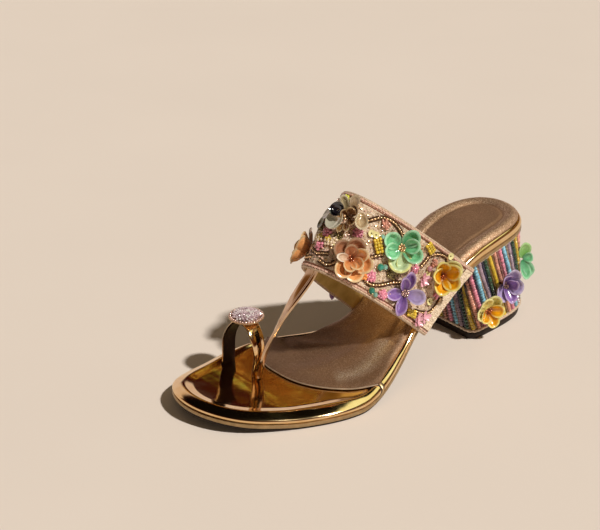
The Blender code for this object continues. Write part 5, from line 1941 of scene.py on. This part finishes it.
PETALS = (
    # key, material, colours of foot, body and edge, and what isn't as usual
    ("pale_green", "disc_pale_green", (200, 220, 130), (222, 240, 190), (242, 244, 160)),
    ("pale_shell", "petal_shell", (206, 182, 132), (226, 208, 164), (242, 232, 204), dict(pearl=0.3)),
    ("beige_shell", "petal_beige", (186, 156, 116), (212, 184, 144), (232, 212, 178), dict(pearl=0.2)),
    ("amber_light", "petal_amber_light", (140, 92, 44), (196, 150, 92), (240, 214, 168), dict(pearl=0.5)),
    ("petal_lilac_pale", "petal_lilac", (150, 124, 190), (184, 166, 214), (206, 192, 226)),
    ("petal_peach_pale", "petal_peach_pale", (232, 176, 136), (246, 216, 186), (255, 240, 220)),
    ("amber", "petal_amber", (96, 58, 26), (150, 104, 60), (214, 182, 136), dict(pearl=0.45)),
    ("petal_mint", "petal_mint", (66, 160, 104), (132, 218, 160), (180, 240, 196)),
    ("petal_pale_green", "petal_pale_green", (180, 216, 140), (214, 238, 186), (246, 246, 160)),
    ("petal_purple", "petal_purple", (84, 48, 128), (160, 122, 198), (204, 176, 226)),
    ("petal_yellow", "petal_yellow", (176, 78, 4), (255, 178, 16), (255, 238, 140)),
    ("petal_pale_yellow", "petal_pale_yellow", (226, 206, 96), (242, 230, 140), (255, 248, 176)),
    ("petal_leaf_green", "petal_leaf_green", (130, 186, 100), (158, 212, 122), (186, 232, 160)),
    ("petal_peach_smoke", "petal_peach_smoke", (170, 96, 58), (206, 142, 104), (190, 150, 114)),
    ("petal_peach", "petal_peach", (206, 106, 50), (255, 178, 112), (255, 220, 170), dict(fold=0.9)),
)


def all_looks():
    looks = {key: bead_look(name, rgb(*colour), **dict(*other)) for key, name, colour, *other in BEADS}
    for key, name, foot, body, edge, *other in PETALS:
        looks[key] = petal_look(name, rgb(*foot), rgb(*body), rgb(*edge), **dict(*other))
    looks["crystal"] = stone_look()
    return looks


# ---------------------------------------------------------------- stage
PALE_WALL = (0.74, 0.62, 0.60, 1.0)
FRONT_WALL = (
    # height of the direction, colour
    (0.24, PALE_WALL),
    (0.32, rgb(150, 112, 66)),
    (0.45, rgb(104, 62, 30)),
    (0.53, rgb(44, 16, 8)),
    (0.72, rgb(12, 8, 6)),
)
BACK_WALL = (
    (0.23, PALE_WALL),
    (0.28, rgb(52, 12, 9)),
    (0.38, rgb(58, 17, 9)),
    (0.48, rgb(98, 54, 22)),
    (0.58, rgb(62, 27, 11)),
    (0.74, rgb(12, 8, 6)),
)
PATCHES = (
    # place over the noise, colour of the bright things behind the shoe
    (0.50, rgb(60, 18, 10)),
    (0.55, rgb(200, 106, 36)),
    (0.60, rgb(255, 206, 110)),
    (0.65, rgb(150, 190, 84)),
)
WINDOW_COLOUR = (1.10, 1.18, 0.80, 1.0)
FILL_COLOUR = (0.142, 0.110, 0.072, 1.0)
CAMERA_PLACE = (0.5839, -0.6273, 0.4357)
CAMERA_AZIMUTH, CAMERA_ELEVATION, CAMERA_ROLL = 50.264, 25.446, 0.136
CAMERA_LENS = 90.5
KEY_DIRECTION = (0.621, 0.166, 0.766)
KEY_ANGLE, KEY_POWER = 3.5, 3.25


def camera():
    azimuth, elevation = math.radians(CAMERA_AZIMUTH), math.radians(CAMERA_ELEVATION)
    back = Vector((math.sin(azimuth) * math.cos(elevation), -math.cos(azimuth) * math.cos(elevation),
                   math.sin(elevation)))
    right = Vector((math.cos(azimuth), math.sin(azimuth), 0.0))
    basis = Matrix((right, back.cross(right), back)).transposed()
    basis = basis @ Matrix.Rotation(math.radians(CAMERA_ROLL), 3, "Z")
    data = bpy.data.cameras.new("camera")
    data.sensor_width = 36.0
    data.lens = CAMERA_LENS
    obj = place_in_scene("camera", data)
    obj.matrix_world = Matrix.Translation(CAMERA_PLACE) @ basis.to_4x4()
    bpy.context.scene.camera = obj


def key_light():
    data = bpy.data.lights.new("key", "SUN")
    data.angle = math.radians(KEY_ANGLE)
    data.energy = KEY_POWER
    data.color = (1.0, 0.955, 0.89)
    place_in_scene("key", data).rotation_euler = Vector(KEY_DIRECTION).to_track_quat("Z", "Y").to_euler()


def studio_world():
    """What the gold sees: a pale wall in front, a dark warm room behind and over it with patches
    of bright colours, and a bright window overhead. All else gets one even fill."""
    world = bpy.data.worlds.new("studio")
    bpy.context.scene.world = world
    world.use_nodes = True
    nodes = Nodes(world.node_tree)

    def step(value, low, high):
        node = nodes.add("ShaderNodeMapRange", value=value, from_min=low, from_max=high)
        node.interpolation_type = "SMOOTHSTEP"
        return node.outputs["Result"]

    def product(first, *others):
        for other in others:
            first = nodes.math("MULTIPLY", first, other)
        return first

    direction = nodes.add("ShaderNodeTexCoord").outputs["Generated"]
    x, y, z = nodes.add("ShaderNodeSeparateXYZ", vector=direction).outputs
    room = nodes.mix(step(y, -0.10, 0.35), nodes.ramp(z, *FRONT_WALL), nodes.ramp(z, *BACK_WALL))
    # a pale wall to the medial side
    sideways = nodes.math("SUBTRACT", x, product(y, 0.4))
    side_wall = product(step(sideways, -0.64, -0.72), step(y, 0.50, 0.36), step(z, 0.66, 0.56))
    room = nodes.mix(side_wall, room, PALE_WALL)
    # bright things of many colours behind the shoe
    tones = nodes.add("ShaderNodeTexNoise", vector=direction, scale=46.0, detail=3.0).outputs["Fac"]
    patchy = product(step(tones, 0.52, 0.56), step(z, 0.62, 0.56), step(z, 0.37, 0.41),
                     step(y, 0.36, 0.44))
    room = nodes.mix(patchy, room, nodes.ramp(tones, *PATCHES))
    # a window overhead, behind the shoe
    overhead = nodes.math("ADD", y, product(x, 0.4))
    window = product(step(overhead, 0.40, 0.46), step(z, 0.70, 0.76), step(x, -0.46, -0.38))
    room = nodes.mix(window, room, WINDOW_COLOUR)
    is_fill = nodes.add("ShaderNodeLightPath").outputs["Is Diffuse Ray"]
    nodes.feed(world.node_tree.nodes["Background"].inputs["Color"], nodes.mix(is_fill, room, FILL_COLOUR))


def floor():
    half = 5.0
    mesh = bpy.data.meshes.new("floor")
    mesh.from_pydata([(-half, -half, 0.0), (half, -half, 0.0), (half, half, 0.0), (-half, half, 0.0)], [],
                     [(0, 1, 2, 3)])
    paper = grained_look("floor_paper", rgb(232, 221, 211), 0.75, 0.0, (1.5, 2.0), (0.02, 0.2),
                         ((0.3, rgb(231, 220, 210)), (0.7, rgb(233, 222, 212))), clouds=(160.0, 2.0),
                         specular_ior_level=0.1)
    mesh.materials.append(paper)
    place_in_scene("floor", mesh)


def main():
    bpy.context.scene.view_settings.view_transform = "Standard"
    camera()
    key_light()
    studio_world()
    floor()

    gold, tan, rubber, leather = mirror_gold_look(), tan_gold_look(), rubber_look(), pewter_look()
    fabric, piping, lining, maroon, cloth = (fabric_look(), piping_look(), lining_painted_light_look(), maroon_look(),
                                             core_look())
    cord = tan_gold_look("vine_cord", rgb(84, 56, 32), 0.45)
    thread = tan_gold_look("edge_thread", rgb(150, 96, 74), 0.5)
    looks = all_looks()

    rolled_midsole(gold)
    rim_seam("rim_seam_folds", "fold", tan_gold_look("seam_gold", rgb(206, 176, 130), 0.30), "tan_gold")
    rim_seam("rim_seam_gaps", "gap", core_look(), "lining_leather")
    plate("welt_strip", WELT_EDGE, BOARD_THICK + GAP, tan, "tan_gold", "welt")
    plate("outsole_rubber", OUTSOLE_EDGE, BOARD_THICK + WELT_THICK + 2 * GAP, rubber, "sole_rubber",
          "outsole", start=BREAST_T + 2 * GAP)
    tread_bars(rubber)
    padded_insole(leather)
    # the sock edge's pale colour is partly its own and partly painted light
    sock_edge_line(tan_gold_look("sock_edge", rgb(214, 194, 172), 0.5))

    heel_core(cloth)
    heel_strings(looks)
    heel_braids(piping)
    top_piece(rubber)

    band_body("band_lining", 0.0, 0.8, lining, "lining_leather", margin=0.01)
    band_body("band_cloth", 0.85, fabric_lift, fabric, "band_fabric", margin=0.004)
    band_edges(piping, thread, looks)
    band_end_rows(end_cord_look(), cord)
    vines(cord, looks)
    bead_clusters(looks)
    ground_beads(looks)
    ring_sequins(looks)
    crystals(looks)
    centre_ornament(looks)
    flowers(looks)
    heel_disc(looks["smoke"])

    centre_strap(mirror_gold_look("strap_gold", rgb(182, 150, 116), rgb(226, 196, 162)))
    toe_ring(gold, maroon)
    button(tan_gold_look("button_gold", rgb(208, 174, 134), 0.26), looks)


main()
